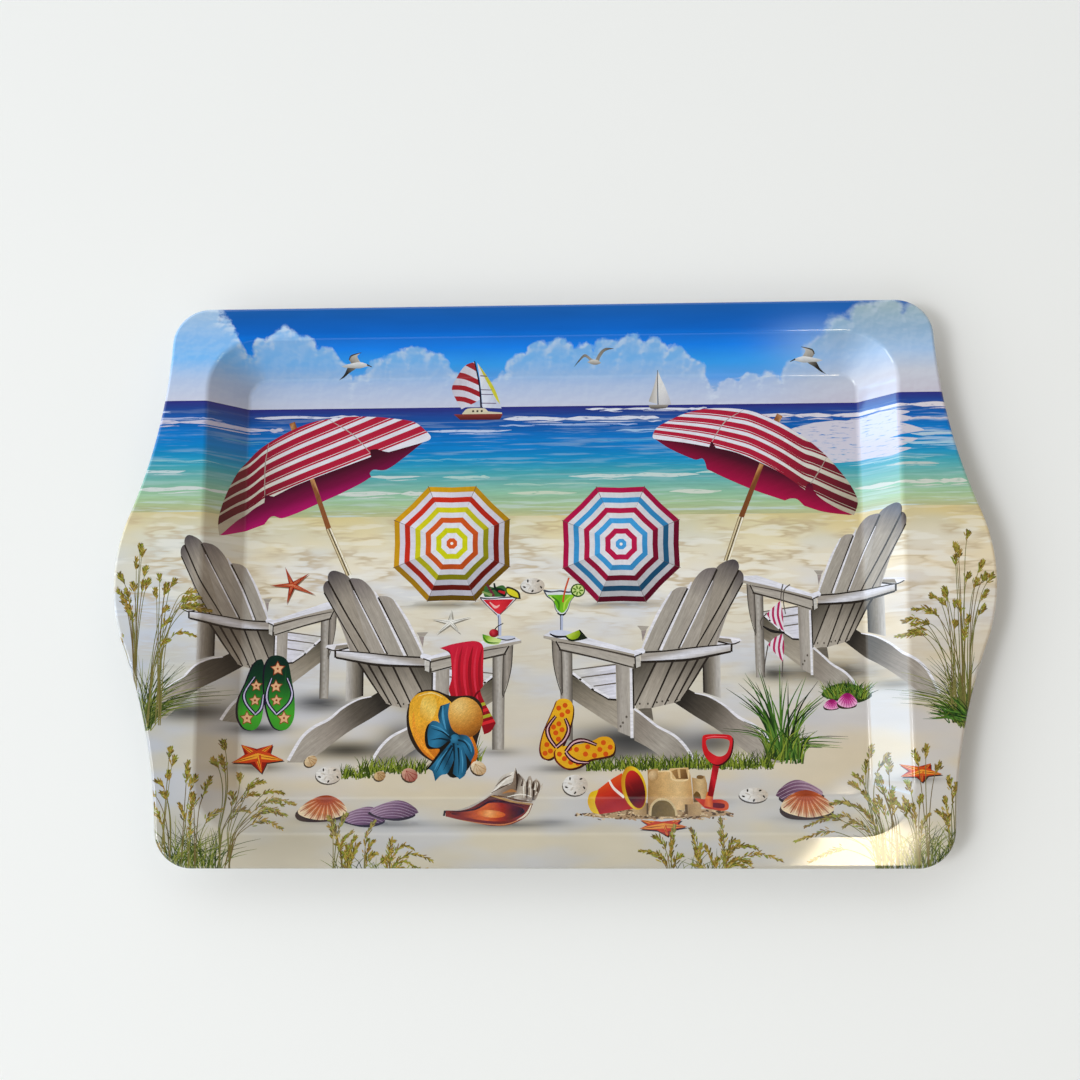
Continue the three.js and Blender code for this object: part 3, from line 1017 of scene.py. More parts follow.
def straw_hat():
    """A straw hat with a blue ribbon tied in a bow, over its own shadow."""
    shadow = Motif("straw_hat_shadow", "plain")
    shadow.fill(
        [
            (-64.6, -56), (-60, -49.4), (-53, -48.2), (-45, -51), (-36, -51), (-31.4, -55),
            (-31, -62), (-33, -70), (-36, -80), (-48, -82), (-58, -77.4), (-63, -71), (-65, -64),
        ],
        "2c2018",
    )
    straw = Motif("straw_hat", "straw")
    straw.fill(
        [
            (-59.8, -49.8), (-54.2, -48.8), (-49.2, -50.5), (-45.6, -53.4), (-40, -60), (-35, -70),
            (-33.4, -74), (-33, -77), (-34.4, -80.4), (-38, -82.4), (-44, -82), (-50, -81),
            (-56.6, -77.2), (-60.8, -71.6), (-63.6, -64.4), (-64.1, -58.4), (-63.2, -53),
        ],
        fade((-58, -50), (-50, -82), "e0a42c", "ecae34", "dc8420", "c4601a"), 60,
    )
    straw.fill(
        [(-58, -52), (-53, -51), (-51.6, -56), (-54.4, -62), (-59, -60)],
        fade((-59, -60), (-52, -52), "e0a434", "f2cc66", "e8b43c"), 60,
    )
    straw.line(
        [(-62, -58), (-61.4, -66), (-57, -74), (-52, -79)], [0.3, 1.8, 1.6, 0.3], "ee9c30", 60,
    )
    straw.line([(-60, -51), (-54, -49.6), (-49, -51.6)], [0.2, 0.7, 0.2], "f4d684")
    straw.patch(
        oval(-38.9, -60.6, 8.1, 9.1, 14, 30),
        glow((-41.6, -55.4), 15.4, "f0cc80", "dca650", "b87428", "7c4414"), 30,
    )
    band = Motif("hat_ribbon", "cloth")
    band.fill(
        [
            (-45.6, -70.2), (-48.4, -66.4), (-52, -63.2), (-55.2, -63.4), (-56.8, -67.4),
            (-56.6, -72), (-55, -74.6), (-50, -74.8), (-53.4, -80), (-56, -84), (-50, -81),
            (-45.4, -87), (-40, -86), (-36, -81), (-37, -74),
        ],
        "1a140c",
    )
    silk = ("12303e", "2a6c90", "1c5474")
    band.fill(
        [
            (-50, -55.4, SHARP), (-45.6, -54, SHARP), (-46.4, -58), (-46, -62), (-44, -66.6),
            (-39.4, -69, SHARP), (-43, -72), (-49, -70, SHARP), (-50, -64), (-51, -59.6),
        ],
        fade((-51, -60), (-44, -62), *silk, "12303e"), 80,
    )
    band.line([(-48.8, -55.4), (-48.8, -60), (-47.4, -66)], [0.3, 1.1, 0.5], "4a94bc")
    band.fill(
        [
            (-44.8, -69.6, SHARP), (-47.6, -65.6), (-51.2, -62.4), (-54.2, -62.6), (-55.6, -66.8),
            (-55.4, -71), (-54.4, -73.4), (-50, -73.8),
        ],
        fade((-56, -66), (-46, -70), "1c5270", "2f7aa2", "123446"), 0,
    )
    band.fill(
        [
            (-42.6, -69, SHARP), (-40.4, -68.2), (-36.8, -69.6), (-34.4, -75.8),
            (-36.2, -80.4, SHARP), (-38.6, -76.6), (-41.6, -73),
        ],
        fade((-43, -70), (-35, -77), "123446", "2c7298", "1a4c6a"), -50,
    )
    band.fill(
        [
            (-45.2, -71.6, SHARP), (-49, -76), (-52, -80), (-55, -83.4, SHARP), (-53.2, -84.6),
            (-52, -88.8, SHARP), (-49.4, -86.2), (-46.4, -85.2), (-43.6, -79), (-42.6, -73),
        ],
        fade((-54, -82), (-44, -78), "1c5472", "2f7ca4", "16445e", "215f82"), 60,
    )
    band.fill(
        [
            (-43, -72.4, SHARP), (-43.4, -80), (-44.2, -85.4, SHARP), (-41, -88, SHARP),
            (-38.4, -85.6), (-38, -80), (-39.4, -74, SHARP),
        ],
        fade((-44.4, -80), (-38, -80), "14405a", "2c7298", "1a4c6a"), 75,
    )
    band.patch(oval(-43.2, -70.4, 2.2, 2.4, 30, 14), glow((-43.8, -69.8), 3, "3a86ae", "1c5472"))
    folds = [
        ([(-45, -70), (-49, -67), (-54, -65.4)], 0.9),
        ([(-45.4, -71), (-49.6, -70), (-54.4, -70.6)], 1.1),
        ([(-42, -70.6), (-38.6, -72), (-36, -77)], 1.0),
        ([(-44.6, -73), (-48, -78), (-51.6, -85)], 1.2),
        ([(-44, -74), (-46, -79), (-48.4, -84)], 0.7),
        ([(-41.8, -74), (-41.4, -80), (-41.6, -86)], 1.0),
        ([(-44, -72), (-43.6, -76), (-43.6, -82)], 1.2),
    ]
    for path, width in folds:
        band.line(path, [0.9 * width, 0.6 * width, 0.1], "0a2230")
    for path in (
        [(-46, -68.6), (-50, -65.4), (-54, -64)], [(-46.6, -75), (-50.6, -80.4), (-52.4, -84)],
        [(-40.4, -75), (-39.8, -80), (-40, -85)], [(-39.4, -70.4), (-36.6, -73), (-35.8, -76)],
    ):
        band.line(path, [0.2, 0.7, 0.2], "4690b8")


def cocktails():
    """Two stemmed glasses, a red drink and a green one, with cut fruit."""
    red = Motif("cocktail_red", "glass")
    red.fill([(-30, -1.4), (-26, -2), (-22, -1), (-20, -4), (-22, -7), (-30, -6.6)], "3c6a34")
    red.line([(-28.6, -3.4), (-25.6, -2.6), (-22, -3.4), (-21, -6)], [0.4, 1.2, 1.0], "16301c")
    for path, ink in [
        ([(-29.4, -0.4), (-26, -6)], "6c2a3a"), ([(-26, 0), (-25, -3), (-21, -6)], "16201a"),
        ([(-31.4, -4), (-27, -5.6)], "86a05c"), ([(-24, -3.6), (-21, -4.6)], "c01c28"),
    ]:
        red.line(path, [0.8, 1.4], ink)
    red.fill(
        [
            (-32.4, -6.4, SHARP), (-15.6, -6.2, SHARP), (-15.8, -7, SHARP), (-24, -15, SHARP),
            (-32.2, -7.2, SHARP),
        ],
        "dfe0ea",
    )
    red.fill(
        [(-31, -7.6, SHARP), (-17, -7.4, SHARP), (-22.4, -13.6), (-24.6, -13.8)],
        fade((-30, -8), (-18, -9), "c41c2c", "e0303c", "b81424"),
    )
    red.line([(-28, -8.6), (-25.4, -11), (-23.4, -10)], [0.3, 1.3, 0.3], "f2b4b0")
    red.line([(-32.4, -6.6), (-28, -7.2), (-22, -6.6), (-15.6, -6.4)], [0.7, 0.4, 0.6], "2a2430")
    red.line([(-32.2, -7), (-28.4, -11), (-24.4, -14.8)], [0.5, 0.3, 0.5], "5c4450")
    red.line([(-15.8, -7), (-19.6, -11), (-23.8, -14.8)], [0.5, 0.3, 0.5], "5c4450")
    red.line([(-24, -14.4), (-23.2, -18), (-23.4, -24)], [1.6, 1.1, 1.5], "b9c0dc")
    red.line([(-24, -14.8), (-24, -24)], 0.35, "4a4c66")
    red.patch(oval(-20.6, -25, 4.4, 1.0, 4), "c9cdde")
    red.line([(-24.6, -25.2), (-20, -26), (-16.4, -25.2)], 0.5, "2a2a34")
    red.fill(
        [(-20.4, -1.8), (-17.6, -2.2), (-14.6, -4.2), (-13.8, -7.4, SHARP), (-17, -7), (-20, -5)],
        "2e2a14",
    )
    red.fill(
        [
            (-20.2, -2.6), (-17.8, -3), (-15.4, -4.6), (-14.8, -6.8, SHARP), (-17, -6.2),
            (-19.6, -4.8),
        ],
        "dcd22c",
    )
    lime = fade((-31, -24), (-27, -27), "3f8a1c", "9cc43a", "cbe08a")
    red.fill(
        [
            (-31.2, -23.2, SHARP), (-27, -24.4), (-22.4, -25.8, SHARP), (-24, -27.8), (-28, -27.8),
            (-30.6, -26.2),
        ],
        lime,
    )
    red.line([(-30.8, -24.4), (-28.6, -27), (-23.6, -27.2)], [0.3, 0.8, 0.2], "2c6a14")
    red.patch(
        oval(-26, -22.8, 2.2, 1.9, 0, 16), glow((-26.6, -22.2), 2.6, "e4505c", "b01626", "6c0c16"),
    )
    red.line([(-25.6, -21.2), (-24.4, -19.8), (-21.8, -18.4)], 0.45, "1c1816")
    green = Motif("cocktail_green", "glass")
    green.fill(
        [
            (-3.4, -3.2, SHARP), (12.2, -2.8, SHARP), (11, -6), (8.6, -8.6), (7.2, -12.4),
            (4.8, -15, SHARP), (2, -12.4), (1, -8.6), (-1.6, -6.2),
        ],
        "dde2e6",
    )
    green.fill(
        [
            (-1.8, -5.6, SHARP), (11, -5.4, SHARP), (8.4, -8.6), (7, -12), (4.8, -13.8), (2.4, -12),
            (1.2, -8.8),
        ],
        fade((-1, -6), (9, -9), "86c42a", "5fae14", "9ccf3a"),
    )
    green.line(
        [(-3.4, -3.2), (-2, -6), (1, -8.6), (2, -12.4), (4.4, -15)], [0.7, 0.4, 0.3], "3c4650",
    )
    green.line([(11.6, -5), (8.8, -8.4), (7.4, -12.4), (5.2, -15)], [0.3, 0.3, 0.5], "4a5658")
    green.line([(0.4, -6.4), (3.2, -9), (3.4, -12.6)], [0.5, 0.9, 0.4], "3c7c10")
    green.line([(8.6, -6.4), (6.2, -9), (5.6, -12.6)], [0.3, 0.8, 0.4], "b8dc4c")
    green.line([(-0.8, -6), (1.4, -8.2)], [0.3, 0.8], "dcec9c")
    green.line([(2.6, -14), (4.8, -14.8), (6.6, -14)], [0.3, 1.0, 0.3], "14201c")
    green.line(
        [(-3.2, -3.6), (0, -4.2), (4, -3.8), (8, -4.4), (12, -3.4)], [0.9, 0.5, 0.8, 0.4], "34384c",
    )
    green.line([(8, 2.2), (6.2, -3.6), (5.2, -9)], 0.8, "c8502c")
    green.line([(4.6, -15), (4.7, -22)], [1.4, 1.0], "b4bcd8")
    green.line([(4.1, -15), (4.1, -22)], 0.35, "4c506a")
    green.patch(oval(4.2, -22.8, 5.4, 1.2, -3), "cdd2e6")
    green.line([(-0.8, -23.2), (2.4, -24.6), (8, -24.4)], [0.5, 1.1, 0.7], "1a1a24")
    green.patch(oval(12, -3.6, 3.3, 3.1), "2c4a14")
    green.patch(oval(12.1, -3.5, 2.7, 2.5), "cbdc8c")
    for k in range(7):
        a = k * math.tau / 7
        green.patch(
            oval(12 + 1.6 * math.cos(a), -3.6 + 1.5 * math.sin(a), 1.0, 0.42, math.degrees(a), 8),
            "5c8424",
        )
    green.fill(
        [
            (5.6, -24.4, SHARP), (12.8, -21.4, SHARP), (16.4, -25.4, SHARP), (12, -26.4),
            (8.4, -26.6),
        ],
        "1c2414",
    )
    green.fill(
        [(6.4, -24, SHARP), (12.4, -21.6, SHARP), (13, -23.4), (11.6, -25.4), (8.8, -25.8)],
        fade((7, -23), (12, -26), "cfe07c", "a4bf20", "6c8c12"),
    )


def dots(motif, places, radius, ink, inside):
    """Round spots, kept inside another mark."""
    for x, y in places:
        motif.patch(oval(x, y, radius, radius, count=12), ink, inside=inside)


def sandals():
    """Two pairs of flip-flops: dotted ones on the sand and green ones stood on their heels."""
    orange = Motif("sandals_dotted", "cloth")
    edge = "3a1a0c"
    upright = [
        (3, -52.8), (7, -52.6), (9.4, -55), (9.4, -60), (7.8, -66), (6, -71), (3, -76), (-1, -79),
        (-4, -78), (-5, -74), (-3.4, -67), (-0.4, -60), (1.4, -56),
    ]
    lying = [
        (2, -75), (5, -73.6), (12, -72.6), (18, -71.2), (22, -69.4), (26, -69.8), (28, -73),
        (27, -77), (22, -78.4), (17, -79.4), (12, -82.4), (7, -83.2), (3, -80.6), (1.6, -77.6),
    ]
    for outline, spots in [
        (
            upright,
            [
                (6, -55.4), (3.2, -56.6), (7.2, -58.2), (4.6, -59.6), (3.2, -63.6), (0.8, -65),
                (4.6, -66.2), (1.8, -67.6), (-1.6, -66), (3, -70.4), (-2.2, -72.8), (-0.6, -75.6),
                (-3, -76.6),
            ],
        ),
        (
            lying,
            [
                (23, -72), (26, -74), (21.4, -75), (16, -73.8), (19, -77.6), (15, -77), (11, -75),
                (8, -74.6), (3.4, -77), (5.6, -79), (8.4, -80.6), (11.6, -81), (24, -77),
            ],
        ),
    ]:
        orange.fill(shifted(outline, 0.5, -0.9), edge)
        orange.fill(shifted(outline, -0.7, -0.5), "6a2416")
        sole = orange.fill(
            outline,
            fade(
                (outline[0][0], outline[0][1]), (outline[7][0], outline[7][1]), "e8b024", "dca018",
                "e0a01c",
            ),
        )
        dots(orange, spots, 1.15, "d0520f", sole)
    for path in (
        [(1.8, -60.2), (-1.8, -65.4), (-1, -70), (2, -74)],
        [(6, -61.2), (7.6, -66), (5.8, -70.6), (2, -74)],
        [(20, -73), (14.4, -71), (9.6, -72), (6.2, -76)],
        [(16.4, -80.8), (11.4, -80.4), (8, -78.4), (6.2, -76)],
    ):
        orange.line(path, [1.4, 2.3, 1.8], "3a0e16")
        orange.line(path, [0.2, 0.7, 0.4], "e0b0b4")
    green = Motif("sandals_green", "cloth")
    left = [
        (-135, -36.4), (-131.6, -34), (-130, -38), (-129.6, -46), (-130, -55), (-131, -62),
        (-134, -65.8), (-138.6, -65), (-141.2, -60), (-141, -52), (-138, -44),
    ]
    right = [
        (-127.6, -33.2), (-123.6, -32.4), (-119.6, -35), (-117.6, -43), (-116, -52), (-116.2, -61),
        (-119.6, -65.8), (-124.6, -65), (-127.8, -59), (-129.6, -50), (-130, -39),
    ]
    stars = [
        (-133.6, -46, 2.4), (-134, -52.6, 2.4), (-137.4, -60.6, 2.8), (-124, -38.4, 2.9),
        (-124.6, -46.4, 2.6), (-124.2, -52.6, 2.4), (-120.6, -60.6, 2.8),
    ]
    for outline in (left, right):
        green.fill(shifted(outline, -0.8, -0.2), "1c1626")
        green.fill(
            outline,
            fade((-130, -36), (-130, -66), "0c2a20", "123c22", "2a7a28", "44a42c", "3c9428"), 80,
        )
    for x, y, radius in stars:
        green.patch(star_points(x, y, radius * 1.25, 0.52, 20), "8c3418")
        green.patch(star_points(x, y, radius * 1.0, 0.5, 20), "e2b084")
        green.patch(oval(x, y, 0.5, 0.5, count=8), "8c3418")
    for path in (
        [(-134.4, -42), (-138.8, -49), (-138, -54), (-133.6, -59)],
        [(-130.2, -50), (-131, -56), (-133.6, -59)],
        [(-126.6, -42.6), (-128.6, -49), (-128, -54), (-124, -59)],
        [(-119.6, -42.6), (-117.2, -49), (-118.6, -54), (-124, -59)],
    ):
        green.line(path, [1.2, 1.9, 1.6], "1a1230")
        green.line(path, [0.3, 0.7, 0.5], "c9c2e0")


def star_points(x, y, radius, waist, turn, squash=1.0):
    """A five-armed star, from tip to waist and round."""
    points = []
    for k in range(10):
        a = math.radians(turn + 36 * k)
        reach = radius if k % 2 == 0 else radius * waist
        points.append((x + reach * math.cos(a), y + squash * reach * math.sin(a)))
    return points


def starfish(name, centre, tips, waist, dark, body, ridge, shadow="3c2c24"):
    """A starfish from its centre and tips; waist says how far out its arms part."""
    star = Motif(name, "shell")
    cx, cy = centre
    ring = []
    for k, (x, y) in enumerate(tips):
        nx, ny = tips[(k + 1) % len(tips)]
        ring += [(x, y), (cx + waist * ((x + nx) / 2 - cx), cy + waist * ((y + ny) / 2 - cy))]
    star.patch(shifted(ring, 0.3, -0.6), shadow)
    hull = star.patch(ring, dark)
    for x, y in tips:
        reach = math.hypot(x - cx, y - cy)
        arm = [(cx, cy), ((cx + x) / 2, (cy + y) / 2), (cx + 0.94 * (x - cx), cy + 0.94 * (y - cy))]
        star.line(arm, [reach * waist * 0.75, reach * waist * 0.5, 0.4], body, inside=hull)
        star.line(arm, [reach * waist * 0.32, reach * waist * 0.2, 0.15], ridge, inside=hull)
        star.line(arm, [0.1, 0.35, 0.1], dark, inside=hull)


def sand_dollar(name, x, y, rx, ry):
    """A flat round shell, marked with five petals and five slots."""
    disc = Motif(name, "shell")
    disc.patch(oval(x - 0.3, y - 0.6, rx, ry), "544c44")
    disc.patch(
        oval(x, y, rx, ry),
        fade((x - rx, y), (x + rx, y - 1), "dedbd8", "e4e0dc", "cfc4b8", "c4b6a6"),
    )
    for k in range(5):
        a = math.radians(90 + 72 * k)
        px, py = x + rx * 0.45 * math.cos(a), y + ry * 0.45 * math.sin(a)
        disc.patch(oval(px, py, rx * 0.2, ry * 0.1, math.degrees(a), 10), "cfc7bd")
        px, py = x + rx * 0.74 * math.cos(a + 0.6), y + ry * 0.74 * math.sin(a + 0.6)
        disc.patch(oval(px, py, 0.75, 0.4, math.degrees(a), 8), "37302a")


def scallop(name, at, size, inks):
    """A ribbed fan shell, about its middle."""
    shell = Motif(name, "shell", at, size)
    shell.fill(
        [(-11.6, -2.4), (-6, 3), (0, 4.8), (8, 1), (10.4, -2), (9, -5), (0, -6.4), (-9, -5.8)],
        "3c2c24",
    )
    fan = shell.fill(
        [
            (0.4, 5.4), (4.2, 4.5), (8.2, 2), (10.8, -1), (10.2, -3), (6.4, -4.6), (0, -5.5),
            (-6.4, -4.5), (-10.2, -2.8), (-10.6, -0.8), (-7.8, 2.2), (-3.6, 4.6),
        ],
        glow((0.4, 6), 12.2, *inks),
    )
    for k in range(12):
        a = math.radians(-171 + 14.7 * k)
        rib = [(0.4 + r * math.cos(a), 5 + 0.84 * r * math.sin(a)) for r in (1, 6, 13)]
        shell.line(rib, [0.08, 0.25, 0.4], inks[1], inside=fan)
        ridge = [
            (0.4 + r * math.cos(a + 0.12), 5 + 0.84 * r * math.sin(a + 0.12))
            for r in (5, 9, 13)
        ]
        shell.line(ridge, [0.05, 0.25, 0.5], inks[-1], inside=fan)


def clam(name, at, size=(1, 1)):
    """A low mussel-like shell with its growth lines."""
    shell = Motif(name, "shell", at, size)
    shell.fill([(-10.6, -1.6), (-5, -3.8), (3, -4.8), (9.6, -2.8), (6, 0), (-4, 0)], "33242c")
    body = shell.fill(
        [
            (-10, -0.6), (-6, 1.8), (0, 3.6), (4.6, 3), (9, 0.6), (10.8, -1.4, SHARP), (7, -3),
            (0, -3.8), (-6, -3),
        ],
        fade((-4, 4), (4, -4), "a88aa0", "7f5c78", "5c3c54"),
    )
    for k in range(13):
        low = 2.8 - 0.56 * k
        shell.line(
            [(-10, low - 2.2), (-4, low + 0.4), (3, low + 0.5), (10.6, low - 2.2)],
            [0.1, 0.18, 0.18, 0.1], "b49cb0" if k % 2 else "6a4864", inside=body,
        )


def pebble_shell(name, x, y, radius, turn, pale, dark):
    """A small rounded shell with a few ribs."""
    shell = Motif(name, "shell", (x, y))
    shell.patch(oval(-0.4, -0.5, radius * 1.15, radius * 0.95, turn, 14), "4a3a2c")
    body = shell.patch(
        oval(0, 0, radius * 1.15, radius * 0.9, turn, 14),
        fade((-radius, radius), (radius, -radius), pale, dark),
    )
    for k in range(4):
        a = math.radians(turn + 25 + 38 * k)
        shell.line(
            [
                (-radius * 0.5, radius * 0.6),
                (radius * 1.2 * math.cos(a - 2.2), radius * 1.2 * math.sin(a - 2.2)),
            ],
            [0.15, 0.4], dark, inside=body,
        )


def conch():
    """A large spiny shell that shows its dark red mouth."""
    shell = Motif("conch", "shell")
    body = shell.fill(
        [
            (-46.6, -101.2, SHARP), (-41, -101), (-36, -99.4), (-30, -96.4), (-26.6, -93.4),
            (-24.6, -90), (-22.4, -86.8), (-19, -85), (-16.9, -84.6), (-16.3, -82.3, SHARP),
            (-15.4, -84.6), (-13, -87), (-11.4, -89), (-10.4, -86.8, SHARP), (-9.4, -86.6),
            (-8.4, -88.8), (-7, -87.6, SHARP), (-5.4, -89), (-4.8, -90.6), (-3.9, -89.4, SHARP),
            (-4.4, -92.2), (-6, -94.2), (-7, -97), (-8.4, -98.6, SHARP), (-20, -98), (-34, -102),
            (-46, -103.4, SHARP),
        ],
        fade((-26, -88), (-12, -98), "b4aa9e", "ddd6cc", "a89a8c", "c8bcae"), 30,
    )
    shell.fill(
        [
            (-31, -97), (-27, -93.6), (-23, -91), (-18, -90), (-16.4, -84, SHARP), (-15, -88),
            (-15.6, -94), (-17, -97), (-24, -95.4),
        ],
        fade((-26, -90), (-16, -96), "c9c0b6", "8c7a6a", "6e5a4a"), 30, body,
    )
    shell.fill(
        [
            (-15.2, -85.4), (-12.8, -88), (-11.6, -90), (-10.4, -96.4), (-14, -98), (-17, -96),
            (-15.4, -91),
        ],
        fade((-16, -90), (-10, -93), "54443a", "c4b8aa", "8a7868"), 60, body,
    )
    shell.fill(
        [
            (-11.2, -89.6), (-10.4, -87.2), (-9.4, -87.4), (-8.6, -90), (-8, -94), (-8.8, -98),
            (-10.6, -96.6),
        ],
        fade((-11.6, -92), (-8, -92), "4c3c32", "b8aa9c", "6c5a4c"), 70, body,
    )
    shell.fill(
        [(-8.2, -89.4), (-6.8, -88.2), (-5.4, -90), (-5.2, -92.4), (-7, -96.6), (-8.4, -97)],
        fade((-8.4, -92), (-5.4, -92), "4c3c32", "a89888", "5c4a3e"), 70, body,
    )
    for path, width, ink in [
        ([(-30, -96.2), (-25, -92.4), (-21, -88.6), (-17, -84.6)], 0.9, "efeae2"),
        ([(-27, -94), (-22, -91.4), (-17.4, -89.4)], 0.5, "4c3c30"),
        ([(-25, -91), (-21.4, -87.8), (-18, -86.2)], 0.8, "6a5c4e"),
        ([(-22, -94.2), (-18, -93), (-15.6, -93.6)], 1.5, "b07c4c"),
        ([(-20, -95.8), (-14, -94.6), (-9, -95.6)], 0.6, "f2ece2"),
        ([(-16.1, -83), (-15.4, -88), (-15.8, -93)], 1.1, "3a2c24"),
        ([(-11.3, -89.4), (-11, -93), (-11.2, -96.4)], 0.9, "34261e"),
        ([(-8.3, -89), (-8, -93), (-8.6, -97)], 0.8, "34261e"),
        ([(-36, -99.4), (-30, -95.6), (-26, -92)], 0.5, "7a6a5c"),
        ([(-13.4, -88.6), (-12.6, -92), (-12.4, -96)], 0.5, "f0eadf"),
        ([(-9.8, -88.4), (-9.4, -92), (-9.4, -96)], 0.4, "efe6da"),
        ([(-24, -95), (-16, -97), (-9, -98)], 0.8, "5c3a20"),
        ([(-6.4, -89.4), (-6.4, -92), (-7.4, -95)], 0.35, "efe6da"),
    ]:
        shell.line(path, [0.2, width, 0.25], ink, inside=body)
    mouth = shell.fill(
        [
            (-46.6, -101.4, SHARP), (-40, -101.4), (-35, -100), (-30, -97), (-26.4, -95),
            (-22, -95.8), (-17, -97.4), (-8.2, -98.6, SHARP), (-10.4, -103.4), (-15, -106.2),
            (-20, -107.5), (-26, -107.6), (-32, -106.6), (-40, -105.2), (-46.2, -103.8, SHARP),
        ],
        fade((-26, -95), (-26, -108), "4c1c10", "6c2412", "8c2e14", "541410"),
    )
    shell.fill(
        [
            (-44, -102.6), (-36, -101.4), (-29, -98.6), (-22, -98.4), (-13, -100.4), (-12, -102.4),
            (-20, -105.6), (-30, -105.4), (-38, -104),
        ],
        fade(
            (-44, -102), (-12, -102), "2c100c", "8c2c14", "c4541e", "d8621e", "a82c14", "5c1810",
            "2c0c0a",
        ),
        inside=mouth,
    )
    shell.patch(
        oval(-26.4, -102.8, 6.4, 1.5, -4), glow((-27, -102.6), 6.4, "f4b068", "e07c34", "cc561e"),
        inside=mouth,
    )
    shell.line(
        [(-44.6, -102), (-34, -101), (-27, -97.6), (-20, -98), (-12, -99.8)], [0.3, 0.9, 0.7, 0.2],
        "3a1410", inside=mouth,
    )
    shell.line([(-27, -95.2), (-18, -97.4), (-8.6, -98.8)], [0.4, 1.2, 0.9], "b48a50", inside=mouth)
    shell.line([(-9, -99), (-11, -103), (-15.4, -105.8)], [0.4, 1.0, 0.3], "e8d8c0", inside=mouth)
    shell.line(
        [(-42, -104.9), (-30, -106.7), (-20, -107.1), (-13, -104.8)], [0.2, 0.5, 0.6, 0.2],
        "c87844", inside=mouth,
    )
    for k in range(8):
        x, y = -13.4 + 1.15 * k, -88.6 - 0.07 * k * k
        shell.line(
            [(x, y - 2.4), (x + 0.5, y + 0.9)], [1.0, 0.15], "4a382c" if k % 2 == 0 else "ddd4c8",
            inside=body,
        )
    shell.line([(-46.8, -101.4), (-47, -103.6)], 0.9, "2a1a14")


